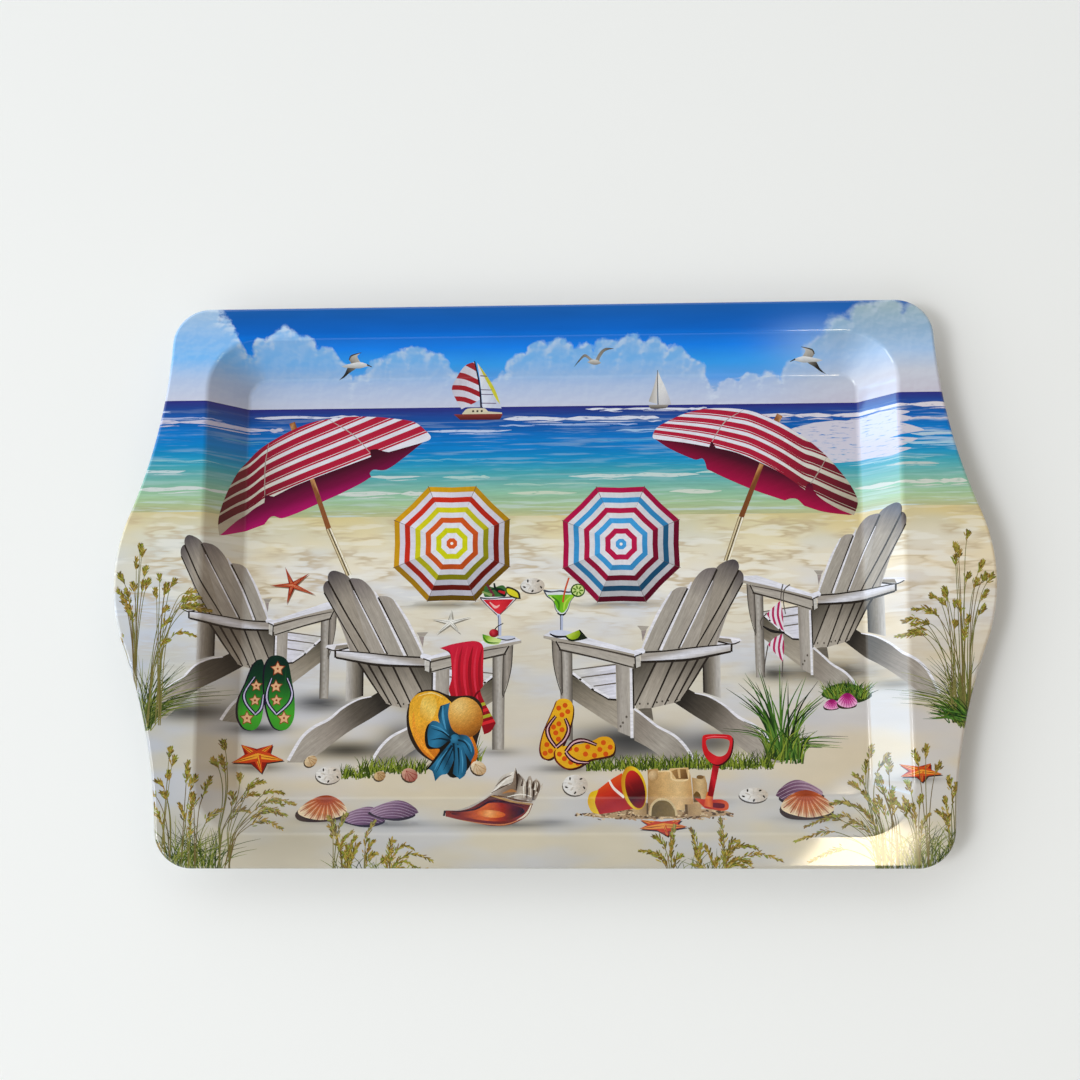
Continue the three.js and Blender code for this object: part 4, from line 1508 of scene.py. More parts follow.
def beach_toys():
    """A sandcastle on crumbled sand, a bucket and a spade."""
    castle = Motif("sandcastle", "sandstone")
    sand = "c9a878"
    rng = random.Random(8)
    castle.fill(
        [
            (14, -103.4), (24, -101.6), (40, -100.6), (60, -101), (72, -101), (78, -103),
            (60, -104.6), (30, -104.8),
        ],
        fade((0, -100), (0, -105), "c8ab80", "a98a60"),
    )
    for _ in range(240):
        x = rng.uniform(10, 79)
        spread = 1.9 if 18 < x < 76 else 0.5
        castle.patch(
            oval(
                x, -103.2 + rng.uniform(-spread, spread), rng.uniform(0.4, 1.3),
                rng.uniform(0.2, 0.5), rng.uniform(-25, 25), 6,
            ),
            rng.choice(["7c5c38", "b8946a", "dcc298", "5c4428"]),
        )
    castle.fill(
        cornered(
            (42.4, -84), (46.8, -83.4), (47.6, -84.6), (52, -84.6), (52.4, -83.4), (60.4, -83),
            (61.4, -86.4), (62.6, -101), (42, -101.6), (42.6, -90),
        ),
        fade((42, -90), (63, -90), "a47c4a", "d0a870", "e0be88", "c0925a"), 90,
    )
    castle.line(
        [(47, -84.8), (52.4, -84.8), (53.4, -88.2), (59.8, -88.4), (60.6, -84)], [0.6, 0.8],
        "e8cc9c",
    )
    castle.fill(
        cornered((53, -84.6), (55.6, -83.6), (59.4, -83.8), (60.4, -88), (55, -88)),
        fade((54, -84), (60, -88), "a87f4c", "5c3a1a"),
    )
    castle.line([(56.2, -83.6), (56.6, -87.6)], [1.2, 0.8], "d6b07a")
    castle.patch(oval(45, -86.6, 2.2, 2.4), glow((44.4, -86), 3, "dcc096", "b48c58"))
    castle.fill(
        cornered(
            (62, -87.4), (64, -87.8), (64.6, -86.6), (67.6, -86.6), (68.6, -90), (69, -100),
            (62.6, -100),
        ),
        fade((62, -90), (69, -90), "b08a58", "d6b888", "a8814e"), 90,
    )
    castle.patch(oval(65.6, -87.2, 1.6, 0.9), "7a5a34")
    castle.fill(
        [(62.4, -95, SHARP), (64, -93.4), (65.6, -95), (65.8, -98, SHARP), (62.4, -98, SHARP)],
        "6e5028",
    )
    castle.fill(
        [
            (43, -104, SHARP), (43.6, -100), (46, -97.6), (49.6, -97), (52.6, -98.6), (54.2, -101),
            (54.4, -104, SHARP),
        ],
        fade((44, -100), (54, -102), "6a562e", "8c7444"),
    )
    castle.line(
        [(43, -103.6), (43.8, -99.6), (47, -97), (51.4, -97.4), (54, -100.6), (54.4, -103.6)], 1.0,
        "d9c090",
    )
    castle.line([(42.2, -98.4), (41.6, -103)], [0.6, 1.2], "5c4424")
    castle.fill(
        cornered((36, -98.4), (41.8, -98.2), (41.4, -103.4), (36, -103)),
        fade((36, 0), (42, 0), sand, "9c7a4c"),
    )
    castle.fill(
        cornered((59, -99), (65.6, -98.6), (65.2, -103.4), (59, -103.4)),
        fade((59, 0), (66, 0), "a8875a", sand),
    )
    castle.line([(59, -99), (58.8, -103)], 1.2, "6a502c")

    bucket = Motif("toy_bucket", "plastic")
    bucket.fill(
        [
            (20.4, -92.6, SHARP), (26, -88.4), (31, -85.4, SHARP), (40, -100, SHARP), (28, -102),
            (21, -103, SHARP), (17.4, -98),
        ],
        fade((24, -88), (30, -103), "e2541c", "c8341c", "a8201a", "c0281c"), 30,
    )
    bucket.fill(
        [(20.6, -92.6, SHARP), (17, -94), (15.8, -98), (17.6, -102), (21, -103, SHARP), (19, -98)],
        fade((16, -98), (20, -98), "dca81c", "e8c424"),
    )
    bucket.line([(25.4, -88.4), (27.4, -92), (32, -96)], [0.9, 1.3], "efe4dc")
    bucket.patch(
        oval(36.4, -91.8, 5.4, 9.6, 12, 28),
        fade((31, -90), (41, -92), "c8861a", "eccc2c", "dcae1c"),
    )
    bucket.patch(
        oval(36.9, -92.4, 4.2, 8.4, 13, 28),
        fade((34, -86), (40, -100), "c42820", "7c1418", "4c0c12", "8c1a1a"),
    )

    spade = Motif("toy_spade", "plastic")
    spade.fill(
        [
            (63, -96.4, SHARP), (69, -97), (74.6, -97), (77.4, -98.4), (77, -101), (74, -101.6),
            (67, -100.6, SHARP),
        ],
        fade((64, -96), (76, -101), "d2441c", "b82c14", "dc5a24"),
    )
    spade.fill([(70, -98.4), (75.6, -98.8), (75, -100.6), (70, -100)], "6c1c18")
    spade.line(
        [(68.6, -100), (70, -94)], [4.0, 2.8],
        fade((67, -98), (71, -98), "d8501c", "ea7c38", "c03c14"),
    )
    spade.line(
        [(69.9, -95.6), (73.3, -79.6)], [2.6, 3.0],
        fade((69.6, -88), (73, -87), "8c0f18", "d42030", "a01420"),
    )
    grip = [
        (67.4, -69), (70, -68.4), (78, -68.6), (80.2, -70), (79.8, -75), (78.2, -78.8), (75, -81.4),
        (72, -81.6), (69, -79.6), (67, -75.6), (66.8, -71),
    ]
    spade.fill(shifted(grip, 0.5, -0.6), "3c0a0c")
    spade.fill(grip, fade((68, -70), (79, -80), "d01c24", "c4161e", "d8242c", "98101a"))
    hole = Motif("toy_spade_opening", "sand", density=ripple_depth)
    hole.fill(
        [
            (69.2, -70.6), (78.2, -70.8), (78.4, -74.8), (76.8, -77.4), (74, -78.2), (71, -76.8),
            (69.1, -74.6),
        ],
        sand_ink,
    )
    spade.line([(68.4, -70), (72, -69.4), (78, -69.6)], [0.2, 0.6, 0.2], "f0606a")


def striped_scarf():
    """A small striped scarf, knotted over the far chair's arm."""
    scarf = Motif("striped_scarf", "cloth")
    for path in (
        [(104.4, -1.4), (103.6, -5), (103.2, -9.6)],
        [(107.6, -1.6), (105, -4), (104.4, -9), (105.2, -15)],
        [(97, -14.4), (94, -18), (94.6, -22)], [(97, -29), (95.6, -36), (95, -41)],
        [(103.4, -35), (103, -43)],
    ):
        scarf.line(path, [0.6, 0.4], "5a524c")
    for points in (
        [
            (103.2, -8.8, SHARP), (100, -11.6), (96.8, -14.8, SHARP), (99, -18.4),
            (104.2, -22.6, SHARP), (104, -15),
        ],
        [
            (103.8, -23.8, SHARP), (100, -25.6), (97, -28.6, SHARP), (99.6, -32),
            (103.4, -36.4, SHARP), (104.2, -30),
        ],
    ):
        leaf = scarf.fill(points, "e6dce4", 85)
        top, foot = points[0], points[4]
        for shift in (-5.6, -3.4, -1.2, 0.8):
            scarf.line(
                [
                    (top[0] + shift + 0.6, top[1]), (103 + shift, (top[1] + foot[1]) / 2),
                    (foot[0] + shift + 0.8, foot[1]),
                ],
                1.0, "b4245c", inside=leaf,
            )
    scarf.line([(95, -20.4), (99, -22.6), (104.6, -23.4)], [0.6, 1.4, 1.0], "221d1b")


def blades(motif, rng, base, count, reach, spread, inks, width, droop, rough=0.6):
    """A fan of curved grass blades: base is a span on the ground, spread its angles in degrees."""
    (left, right), ground = base
    for _ in range(count):
        x = rng.uniform(left, right)
        angle = rng.uniform(*spread)
        length = rng.uniform(*reach)
        lean = math.cos(math.radians(angle))
        middle = (x + 0.45 * length * lean, ground + 0.55 * length * math.sin(math.radians(angle)))
        tip = (
            x + length * lean * (1 + droop),
            ground + length * math.sin(math.radians(angle)) * (1 - droop * abs(lean)),
        )
        motif.line(
            [(x, ground + rng.uniform(-rough, rough)), middle, tip], [width, width * 0.8, 0.08],
            rng.choice(inks), angle,
        )


GRASS = ["1e3a12", "2c5018", "3c6420", "527a2c", "6e8c34", "16280c"]
OLIVE = ["3a4a14", "56681e", "74862a", "8a9632", "2a3810"]


def green_grass():
    """Grasses at the feet of the chairs and along the sand."""
    tall = Motif("tall_grass", "leaf")
    rng = random.Random(5)
    tall.fill([(97, -79), (100, -73), (104, -71), (108, -74), (110, -78.6), (104, -80)], "1c3212")
    blades(tall, rng, ((98, 104), -79), 18, (30, 42), (92, 118), GRASS, 0.95, 0.28)
    blades(tall, rng, ((99, 106), -79), 16, (26, 42), (66, 90), GRASS, 0.95, 0.34)
    blades(tall, rng, ((101, 109), -79), 24, (11, 22), (34, 68), GRASS, 0.6, 0.6)
    blades(tall, rng, ((97, 102), -79), 9, (16, 26), (112, 132), GRASS, 0.7, 0.5)
    blades(tall, rng, ((95, 111), -80), 60, (6, 19), (60, 116), OLIVE + GRASS, 0.65, 0.3, 1.8)
    low = Motif("low_grass", "leaf")
    for left, right, ground, count, tallest in [
        (-94, -80, -87, 70, 6.5), (-86, -56, -84.6, 190, 8), (15, 60, -83.6, 330, 7.5),
        (60, 98, -83, 260, 8.5), (-36, -31, -80, 26, 12),
    ]:
        foot = [(x, ground + 0.7 * math.sin(0.9 * x)) for x in np.arange(left + 1, right - 1, 1.5)]
        low.patch([*foot, (right - 1, ground + 1.6), (left + 1, ground + 1.6)], "4c5a20")
        blades(
            low, rng, ((left, right), ground), count, (2.2, tallest), (58, 122), OLIVE, 0.5, 0.1,
            1.2,
        )
    tuft = Motif("grass_tuft", "leaf")
    tuft.fill([(120.6, -52), (123, -48), (130, -46), (138, -48), (142, -52), (134, -55)], "2c3c14")
    blades(tuft, rng, ((122, 140), -52.6), 240, (3, 9), (40, 140), GRASS + OLIVE, 0.5, 0.1)


SEEDS_PER_HEAD = 44
SEED = ["8a7430", "6c5c24", "b09a48", "544c1c", "93983a", "7a5c24", "7c8430", "a4843c"]


def dune_grass(name, seed, base, tips, blade_reach, blade_spread, blade_count):
    """Sea oats: bent stems that carry narrow heads of seeds, over a fan of fine blades."""
    oats = Motif(name, "leaf")
    rng = random.Random(seed)
    (left, right), ground = base
    fronds = ["4c5c20", "34441a", "6c7834", "8a8e44", "2a3812"]
    blades(oats, rng, base, blade_count, blade_reach, blade_spread, fronds, 0.42, 0.3, 2.5)
    for tip_x, tip_y, droop in tips:
        foot = min(max(tip_x, left), right) + rng.uniform(-4, 4)
        for twin in range(3):
            end_x, end_y = tip_x + (twin > 0) * rng.uniform(-6, 6), tip_y - twin * rng.uniform(2, 8)
            across, rise = end_x - foot, end_y - ground
            knee = (foot + 0.26 * across - droop, ground + 0.55 * rise + abs(droop) * 1.5)
            bend = (foot + 0.62 * across - droop * 0.6, ground + 0.86 * rise + abs(droop) * 2.6)
            stem = spline([(foot, ground), knee, bend, (end_x, end_y)], False, 9)
            oats.line(
                stem, [0.45, 0.35, 0.2], rng.choice(["6c5c34", "6a6a34", "7c7440"]), smooth=False,
            )
            places = np.arange(len(stem))
            head = max(0.25, 1 - rng.uniform(12, 18) / math.hypot(across, rise))
            for k in range(SEEDS_PER_HEAD):
                share = (k + rng.random()) / SEEDS_PER_HEAD
                at = (head + (1 - head) * share) * (len(stem) - 1)
                x, y = np.interp(at, places, stem[:, 0]), np.interp(at, places, stem[:, 1])
                nearest = min(round(at), len(stem) - 2)
                heading = stem[nearest + 1] - stem[nearest]
                side = rng.choice((-1, 1))
                a = math.atan2(heading[1], heading[0]) + side * math.radians(rng.uniform(8, 34))
                reach = rng.uniform(0.2, 3.3) * (1.1 - share)
                seed_at = (x + reach * math.cos(a), y + reach * math.sin(a))
                oats.patch(
                    oval(
                        *seed_at, rng.uniform(0.8, 1.5), rng.uniform(0.2, 0.34), math.degrees(a), 6,
                    ),
                    rng.choice(SEED),
                )


def dunes():
    """Sea oats at both sides and along the front."""
    dune_grass(
        "oats_left", 11, ((-181, -175), -64),
        [
            (-183, 16, 0.5), (-192, 3, -0.5), (-190, -8, -0.6), (-186, -1, 0), (-180, 6, 0.4),
            (-174, 2, 1), (-167, 0, 1.6), (-158, -5, 2.2), (-155, -11, 2.4), (-170, -12, 1),
        ],
        (10, 34), (30, 112), 130,
    )
    dune_grass(
        "oats_right", 12, ((175, 181), -64),
        [
            (183, 19, -0.4), (189, 6, 0.4), (177, 8, -0.6), (186, -2, 0.3), (172, -6, -1),
            (166, -9, -1.6), (158, -15, -2.0), (154, -20, -2.2), (178, -12, -0.4),
        ],
        (10, 34), (68, 150), 130,
    )
    dune_grass(
        "oats_bottom_left", 13, ((-166, -142), -126),
        [
            (-166, -74, -0.6), (-158, -80, -0.2), (-172, -88, -1), (-146, -71, 0.4),
            (-150, -87, 0.2), (-140, -86, 0.8), (-129, -89, 1.4), (-120, -94, 1.8),
            (-114, -99, 2.2), (-156, -94, 0), (-176, -98, -1),
        ],
        (8, 24), (40, 128), 130,
    )
    dune_grass(
        "oats_bottom_right", 14, ((138, 171), -126),
        [
            (141.4, -74, 0.4), (147, -80, 0.2), (161, -74, 0.2), (133, -86, -0.8), (137, -94, -0.4),
            (122, -99, -1.6), (109, -108, -2.2), (170, -87, 0.4), (173.4, -91, 0.6), (153, -89, 0),
            (158, -95, 0.2), (148, -92, 0),
        ],
        (8, 24), (52, 128), 150,
    )
    tuft = Motif("grass_tuft_right", "leaf")
    blades(
        tuft, random.Random(17), ((171, 181), -62), 80, (5, 12), (118, 182), OLIVE[:2] + GRASS, 0.5,
        0.1, 2.5,
    )
    dune_grass(
        "oats_front_left", 15, ((-92, -72), -130),
        [
            (-98, -104, -0.3), (-90, -103, -0.1), (-84, -112, 0), (-77, -106, 0.3),
            (-68, -114, 0.8), (-59, -117, 1.2), (-51, -122, 1.6), (-88, -116, 0),
        ],
        (6, 14), (50, 130), 30,
    )
    dune_grass(
        "oats_front_right", 16, ((52, 74), -130),
        [
            (44, -112, -0.4), (53, -108, -0.2), (60, -109, 0), (73, -105, 0.3), (80, -114, 0.8),
            (88, -117, 1.2), (98, -122, 1.6), (66, -116, 0),
        ],
        (6, 14), (50, 130), 30,
    )


TERRACOTTA = ["8c3218", "9c4020", "b8542a", "cc7440", "c07a4c", "ead2ae"]
PURPLE_PINK = ["6c1044", "a01c68", "c83c94", "ecb0d4"]

towel()
cocktails()
striped_scarf()
green_grass()
straw_hat()
sandals()
starfish(
    "starfish_thin_red", (-118.4, -0.3),
    [(-121.9, 8.2), (-110.6, 5.2), (-107.5, -4.8), (-120.7, -9), (-128.7, -0.4)], 0.24, "6c1810",
    "b83c20", "e88c60", "8c7058",
)
starfish(
    "starfish_thin_white", (-45.8, -17.6),
    [(-45.2, -12), (-36.4, -15.4), (-41.2, -22.9), (-52.2, -23.2), (-54.2, -16.3)], 0.27, "a29c90",
    "e8e5de", "f6f4f0", "8c867a",
)
starfish(
    "starfish_left", (-132.4, -77.4),
    [(-139.7, -72.4), (-125.3, -72.4), (-120, -79.4), (-130, -85.2), (-143.2, -80.4)], 0.62,
    "8c1c10", "c8421a", "eca030",
)
starfish(
    "starfish_middle", (48.6, -107.6),
    [(38.4, -105.2), (56.6, -105), (58.6, -108), (50, -111.8), (38, -108.8)], 0.66, "8c1c10",
    "c8421a", "e8983a",
)
starfish(
    "starfish_right", (158.4, -84.6),
    [(150.4, -81.6), (162.6, -81.2), (167.4, -85.8), (158.6, -89.2), (150.8, -87)], 0.62, "8c1c10",
    "cc4c1a", "ec9c34",
)
sand_dollar("sand_dollar_far", -8.4, -1.2, 5.4, 3.4)
sand_dollar("sand_dollar_left", -99.8, -86, 5.8, 3.8)
sand_dollar("sand_dollar_middle", 10.4, -90.6, 5.6, 4.6)
sand_dollar("sand_dollar_right", 89, -95, 6.4, 3.2)
clam("clam_left", (-82, -103.4))
clam("clam_middle", (-69.6, -100.8), (1.05, 1))
clam("clam_right", (109.4, -93.4), (-1, 1.35))
scallop("scallop_left", (-101, -100), (1, 0.95), TERRACOTTA)
scallop("scallop_right", (111.6, -98.6), (1.06, 1.05), TERRACOTTA)
scallop("scallop_pink_small", (124.4, -55.4), (0.32, 0.42), PURPLE_PINK)
scallop("scallop_pink", (131.4, -53.6), (0.4, 0.6), PURPLE_PINK)
pebble_shell("pebble_shell_cream", -108, -79.8, 2.6, 30, "ead6b0", "a87c4c")
pebble_shell("pebble_shell_tan", -76.8, -86.4, 2.3, 10, "dcc090", "946a3c")
pebble_shell("pebble_shell_rose", -63.4, -86, 3.2, -20, "d8a890", "8c3430")
pebble_shell("pebble_shell_pale", -32.6, -83, 3.2, -30, "ecdcc0", "b48c5c")
conch()
beach_toys()
dunes()


# -------------------------------------------------------------------------------------------------
# The sheet: rings over its bends, and the shell that they make
# -------------------------------------------------------------------------------------------------
BEND_STEPS = 7
CURL_STEP = math.radians(11)
LOOSE_STEP = 1.5  # spacing of the points that carry smooth changes of colour and shape
LOOSE_ROW = 0.866  # the share of that between two rows, so that the triangles have even sides
LOOSE_MARGIN = 1.2 * CURL_RADIUS  # how far inside the silhouette the last of those points are
MERGE = 1e-4  # points closer than this become one
HANDOVER = math.radians(30)  # the curl's turn where the flat artwork gives way to the edge's print
HANDOVER_STEPS = 6


def sheet_rings(lift):
    """The rings of a face `lift` above the tinplate's upper face: their points and normals."""
    rings = []

    def add(plan, turn, z):
        """A level ring, with its normals leant inwards by a turn."""
        _, dx, dy = well_distance(*plan.T)
        count = len(plan)
        normals = [-dx * math.sin(turn), -dy * math.sin(turn), np.full(count, math.cos(turn))]
        rings.append((np.column_stack([plan, np.full(count, z)]), np.column_stack(normals)))

    foot = BEND_RADIUS - lift
    for turn in np.linspace(0, WALL_ANGLE, BEND_STEPS):
        add(
            well_ring(-SETBACK + foot * math.sin(turn)), turn,
            SHEET + BEND_RADIUS - foot * math.cos(turn),
        )
    shoulder = BEND_RADIUS + lift
    for turn in np.linspace(WALL_ANGLE, 0, BEND_STEPS):
        plan = well_ring(WALL_RUN + SETBACK - shoulder * math.sin(turn))
        add(plan, turn, RIM_Z - BEND_RADIUS + shoulder * math.cos(turn))
    return rings + [curl_ring(turn, lift) for turn in curl_turns(math.pi / 2)]


def curl_turns(start):
    """Even turns round the curl, from `start` to the sheet's edge."""
    return np.linspace(start, CURL_END, round((start - CURL_END) / CURL_STEP) + 1)


def curl_ring(turn, lift):
    """The curl's ring at a turn from the horizontal: its points and normals."""
    radius = CURL_RADIUS + lift
    plan = edge_ring(CURL_RADIUS - radius * math.cos(turn))
    outward = edge_ring_outward()
    count = len(plan)
    points = np.column_stack([plan, np.full(count, RIM_Z - CURL_RADIUS + radius * math.sin(turn))])
    normals = np.column_stack([outward * math.cos(turn), np.full(count, math.sin(turn))])
    return points, normals


def edge_ring_outward():
    """The plan direction straight out of the edge at each point of its rings."""
    step = edge_ring(0) - edge_ring(1)
    return step / np.hypot(step[:, 0], step[:, 1])[:, None]


def add_mesh(name, points, faces, normals, material, stands_for):
    """A piece from points in millimetres, faces of equal size and a normal for each corner."""
    faces = np.asarray(faces)
    mesh = bpy.data.meshes.new(name)
    mesh.vertices.add(len(points))
    mesh.vertices.foreach_set("co", (np.asarray(points) / PER_METRE).astype(np.float32).ravel())
    mesh.loops.add(faces.size)
    mesh.loops.foreach_set("vertex_index", faces.astype(np.int32).ravel())
    mesh.polygons.add(len(faces))
    mesh.polygons.foreach_set(
        "loop_start", np.arange(0, faces.size, faces.shape[1], dtype=np.int32),
    )
    mesh.update(calc_edges=True)
    mesh.polygons.foreach_set("use_smooth", np.ones(len(faces), bool))
    mesh.normals_split_custom_set(normals)
    mesh.materials.append(material)
    piece = bpy.data.objects.new(name, mesh)
    bpy.context.scene.collection.objects.link(piece)
    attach(piece, "root")
    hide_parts(stands_for)
    return piece


def paint(piece, name, kind, values):
    """A corner attribute of a piece, from one row of numbers for each corner."""
    layer = piece.data.attributes.new(name, kind, "CORNER")
    layer.data.foreach_set(
        "color" if kind == "FLOAT_COLOR" else "vector", values.astype(np.float32).ravel(),
    )


def band_faces(count, rings):
    """Quads between so many rings of `count` vertices, numbered from the first ring on."""
    i = np.arange(count)
    j = (i + 1) % count
    quads = np.stack([j, i, count + i, count + j], 1)
    return np.concatenate([quads + k * count for k in range(rings - 1)])


def halves(quads):
    """Two triangles, or the corner values of two triangles, for each quad."""
    return [quads[:, (0, 1, 2)], quads[:, (0, 2, 3)]]


def tin_shell(material):
    """The pressed sheet, closed, with its cut edge inside the curl."""
    upper, lower = sheet_rings(0), sheet_rings(-SHEET)
    rings = upper + [(points, -normals) for points, normals in reversed(lower)]
    count = len(rings[0][0])
    points = np.concatenate([ring for ring, _ in rings])
    normals = np.concatenate([ring for _, ring in rings])
    faces = band_faces(count, len(rings))
    corner_normals = normals[faces]

    # The quads across the sheet's cut edge face onward, along the curl.
    cut = slice((len(upper) - 1) * count, len(upper) * count)
    last, _ = curl_ring(CURL_END, 0)
    before, _ = curl_ring(CURL_END + 0.05, 0)
    onward = (last - before) / np.linalg.norm(last - before, axis=1)[:, None]
    corner_normals[cut] = onward[:, None, :]

    # The floor's two faces are fans, round a hub at their middle.
    i = np.arange(count)
    j = (i + 1) % count
    hubs, fans, fan_normals = [], [], []
    for start, up in (0, 1), (len(points) - count, -1):
        hub = np.full(count, len(points) + len(hubs))
        hubs.append((0, 0, points[start, 2]))
        first, second = (i, j) if up > 0 else (j, i)
        fans.append(np.stack([hub, start + first, start + second], 1))
        fan_normals.append(np.tile((0, 0, up), (count, 3, 1)))
    triangles = np.concatenate(halves(faces) + fans)
    normals = np.concatenate(halves(corner_normals) + fan_normals).reshape(-1, 3)
    add_mesh(
        "tinplate_pan", np.concatenate([points, hubs]), triangles, normals, material,
        "tray_pan",
    )


def edge_ink(x, y):
    """The scene's backdrop where it runs over the curl."""
    sky = blend(sky_ink(x, y), cloud_ink(x, y), ease(cloud_cover(x, y) * 2.2))
    above_shore = np.where((y > HORIZON)[..., None], sky, sea_ink(x, y))
    return np.where((y > SHORE)[..., None], above_shore, sand_ink(x, y))


def printed_edge(material):
    """The print that goes round the curl and in under it."""
    rings = [curl_ring(turn, INK_LIFT) for turn in curl_turns(HANDOVER)]
    points = np.concatenate([ring for ring, _ in rings])
    normals = np.concatenate([ring for _, ring in rings])
    faces = np.concatenate(halves(band_faces(len(rings[0][0]), len(rings))))
    piece = add_mesh(
        "printed_edge", points, faces, normals[faces].reshape(-1, 3), material,
        "print_film",
    )
    plan = np.tile(edge_ring(CURL_RADIUS), (len(rings), 1))[faces.ravel()]
    colours = edge_ink(plan[:, 0], plan[:, 1])
    paint(piece, "ink", "FLOAT_COLOR", np.column_stack([colours, np.ones(len(colours))]))
    paint(piece, "grain", "FLOAT_VECTOR", np.column_stack([plan, np.zeros(len(plan))]))


# -------------------------------------------------------------------------------------------------
# The print: the sheet is cut along every outline, and each bit goes to the topmost mark over it
# -------------------------------------------------------------------------------------------------
def covers(outline, x, y):
    """Which points lie inside a closed outline."""
    x0, y0 = outline.T[:, :, None]
    x1, y1 = np.roll(outline, -1, 0).T[:, :, None]
    side = (x1 - x0) * (y - y0) - (x - x0) * (y1 - y0)
    up, down = (y0 <= y) & (y1 > y) & (side > 0), (y0 > y) & (y1 <= y) & (side < 0)
    return up.sum(0) != down.sum(0)


def cut_sheet():
    """Triangles over the whole sheet that no outline crosses: plan points and corner numbers."""
    border = edge_ring(CURL_RADIUS * (1 - math.cos(HANDOVER)))
    loops = [mark.outline for mark in MARKS] + [border]
    turns = np.linspace(0, WALL_ANGLE, BEND_STEPS)
    loops += [well_ring(-SETBACK + BEND_RADIUS * math.sin(turn)) for turn in turns]
    loops += [well_ring(WALL_RUN + SETBACK - BEND_RADIUS * math.sin(turn)) for turn in turns]
    curled = np.linspace(HANDOVER, math.pi / 2, HANDOVER_STEPS)[1:]
    loops += [edge_ring(CURL_RADIUS * (1 - math.cos(turn))) for turn in curled]
    xs = np.arange(-TRAY_LENGTH / 2, TRAY_LENGTH / 2, LOOSE_STEP)
    ys = np.arange(-TRAY_WIDTH / 2, TRAY_WIDTH / 2, LOOSE_STEP * LOOSE_ROW)
    grid_x, grid_y = np.meshgrid(xs, ys)
    grid_x[1::2] += LOOSE_STEP / 2
    loose = np.column_stack([grid_x.ravel(), grid_y.ravel()])
    loose = loose[edge_distance(loose[:, 0], loose[:, 1])[0] > LOOSE_MARGIN]
    edges, start = [], 0
    for loop in loops:
        i = np.arange(len(loop))
        edges.append(np.column_stack([start + i, start + (i + 1) % len(loop)]))
        start += len(loop)
    places = [Vector(place) for place in np.concatenate(loops + [loose]).tolist()]
    result = delaunay_2d_cdt(places, np.concatenate(edges).tolist(), [], 0, MERGE, False)
    points, triangles = np.array(result[0]), np.array(result[2])
    x, y = points[triangles].mean(1).T
    kept = (np.abs(x) < TRAY_LENGTH / 2) & (np.abs(y) < TRAY_WIDTH / 2)
    kept[kept] = covers(border, x[kept], y[kept])
    return points, triangles[kept]


def owners(points, triangles):
    """The number of the topmost mark over each triangle."""
    x, y = points[triangles].mean(1).T
    order = np.argsort(x)
    x, y = x[order], y[order]
    owner = np.full(len(x), -1)
    for mark in reversed(MARKS):
        (left, low), (right, high) = mark.outline.min(0), mark.outline.max(0)
        first, last = np.searchsorted(x, (left, right))
        near = first + np.flatnonzero(
            (owner[first:last] < 0) & (y[first:last] > low) & (y[first:last] < high)
        )
        if mark.inside:
            near = near[covers(mark.inside.outline, x[near], y[near])]
        owner[near[covers(mark.outline, x[near], y[near])]] = mark.index
    result = np.empty_like(owner)
    result[order] = owner
    return result


def print_scene(materials):
    """One piece for each motif."""
    points, triangles = cut_sheet()
    owner = owners(points, triangles)
    z, normals = surface(points[:, 0], points[:, 1])
    places = np.column_stack([points, z]) + normals * INK_LIFT
    by_owner = np.argsort(owner, kind="stable")
    starts = np.searchsorted(owner[by_owner], np.arange(len(MARKS) + 1))
    motifs = {}
    for mark in MARKS:
        motifs.setdefault(mark.motif, []).append(mark)
    for motif, marks in motifs.items():
        corners, inks, grains, unders = [], [], [], []
        for mark in marks:
            mine = triangles[by_owner[starts[mark.index] : starts[mark.index + 1]]].ravel()
            x, y = points[mine].T
            corners.append(mine)
            inks.append(np.clip(mark.colours(x, y), 0, 1))
            grains.append(mark.grain(x, y))
            if motif.under:
                unders.append(motif.under(x, y))
        corners = np.concatenate(corners)
        used, numbers = np.unique(corners, return_inverse=True)
        faces, material = numbers.reshape(-1, 3), materials[motif.kind]
        piece = add_mesh(
            motif.name, places[used], faces, normals[corners], material, "print_film"
        )
        ones = np.ones(len(corners))
        paint(piece, "ink", "FLOAT_COLOR", np.column_stack([np.concatenate(inks), ones]))
        paint(piece, "grain", "FLOAT_VECTOR", np.concatenate(grains))
        if motif.under:
            paint(piece, "under", "FLOAT_COLOR", np.column_stack([np.concatenate(unders), ones]))


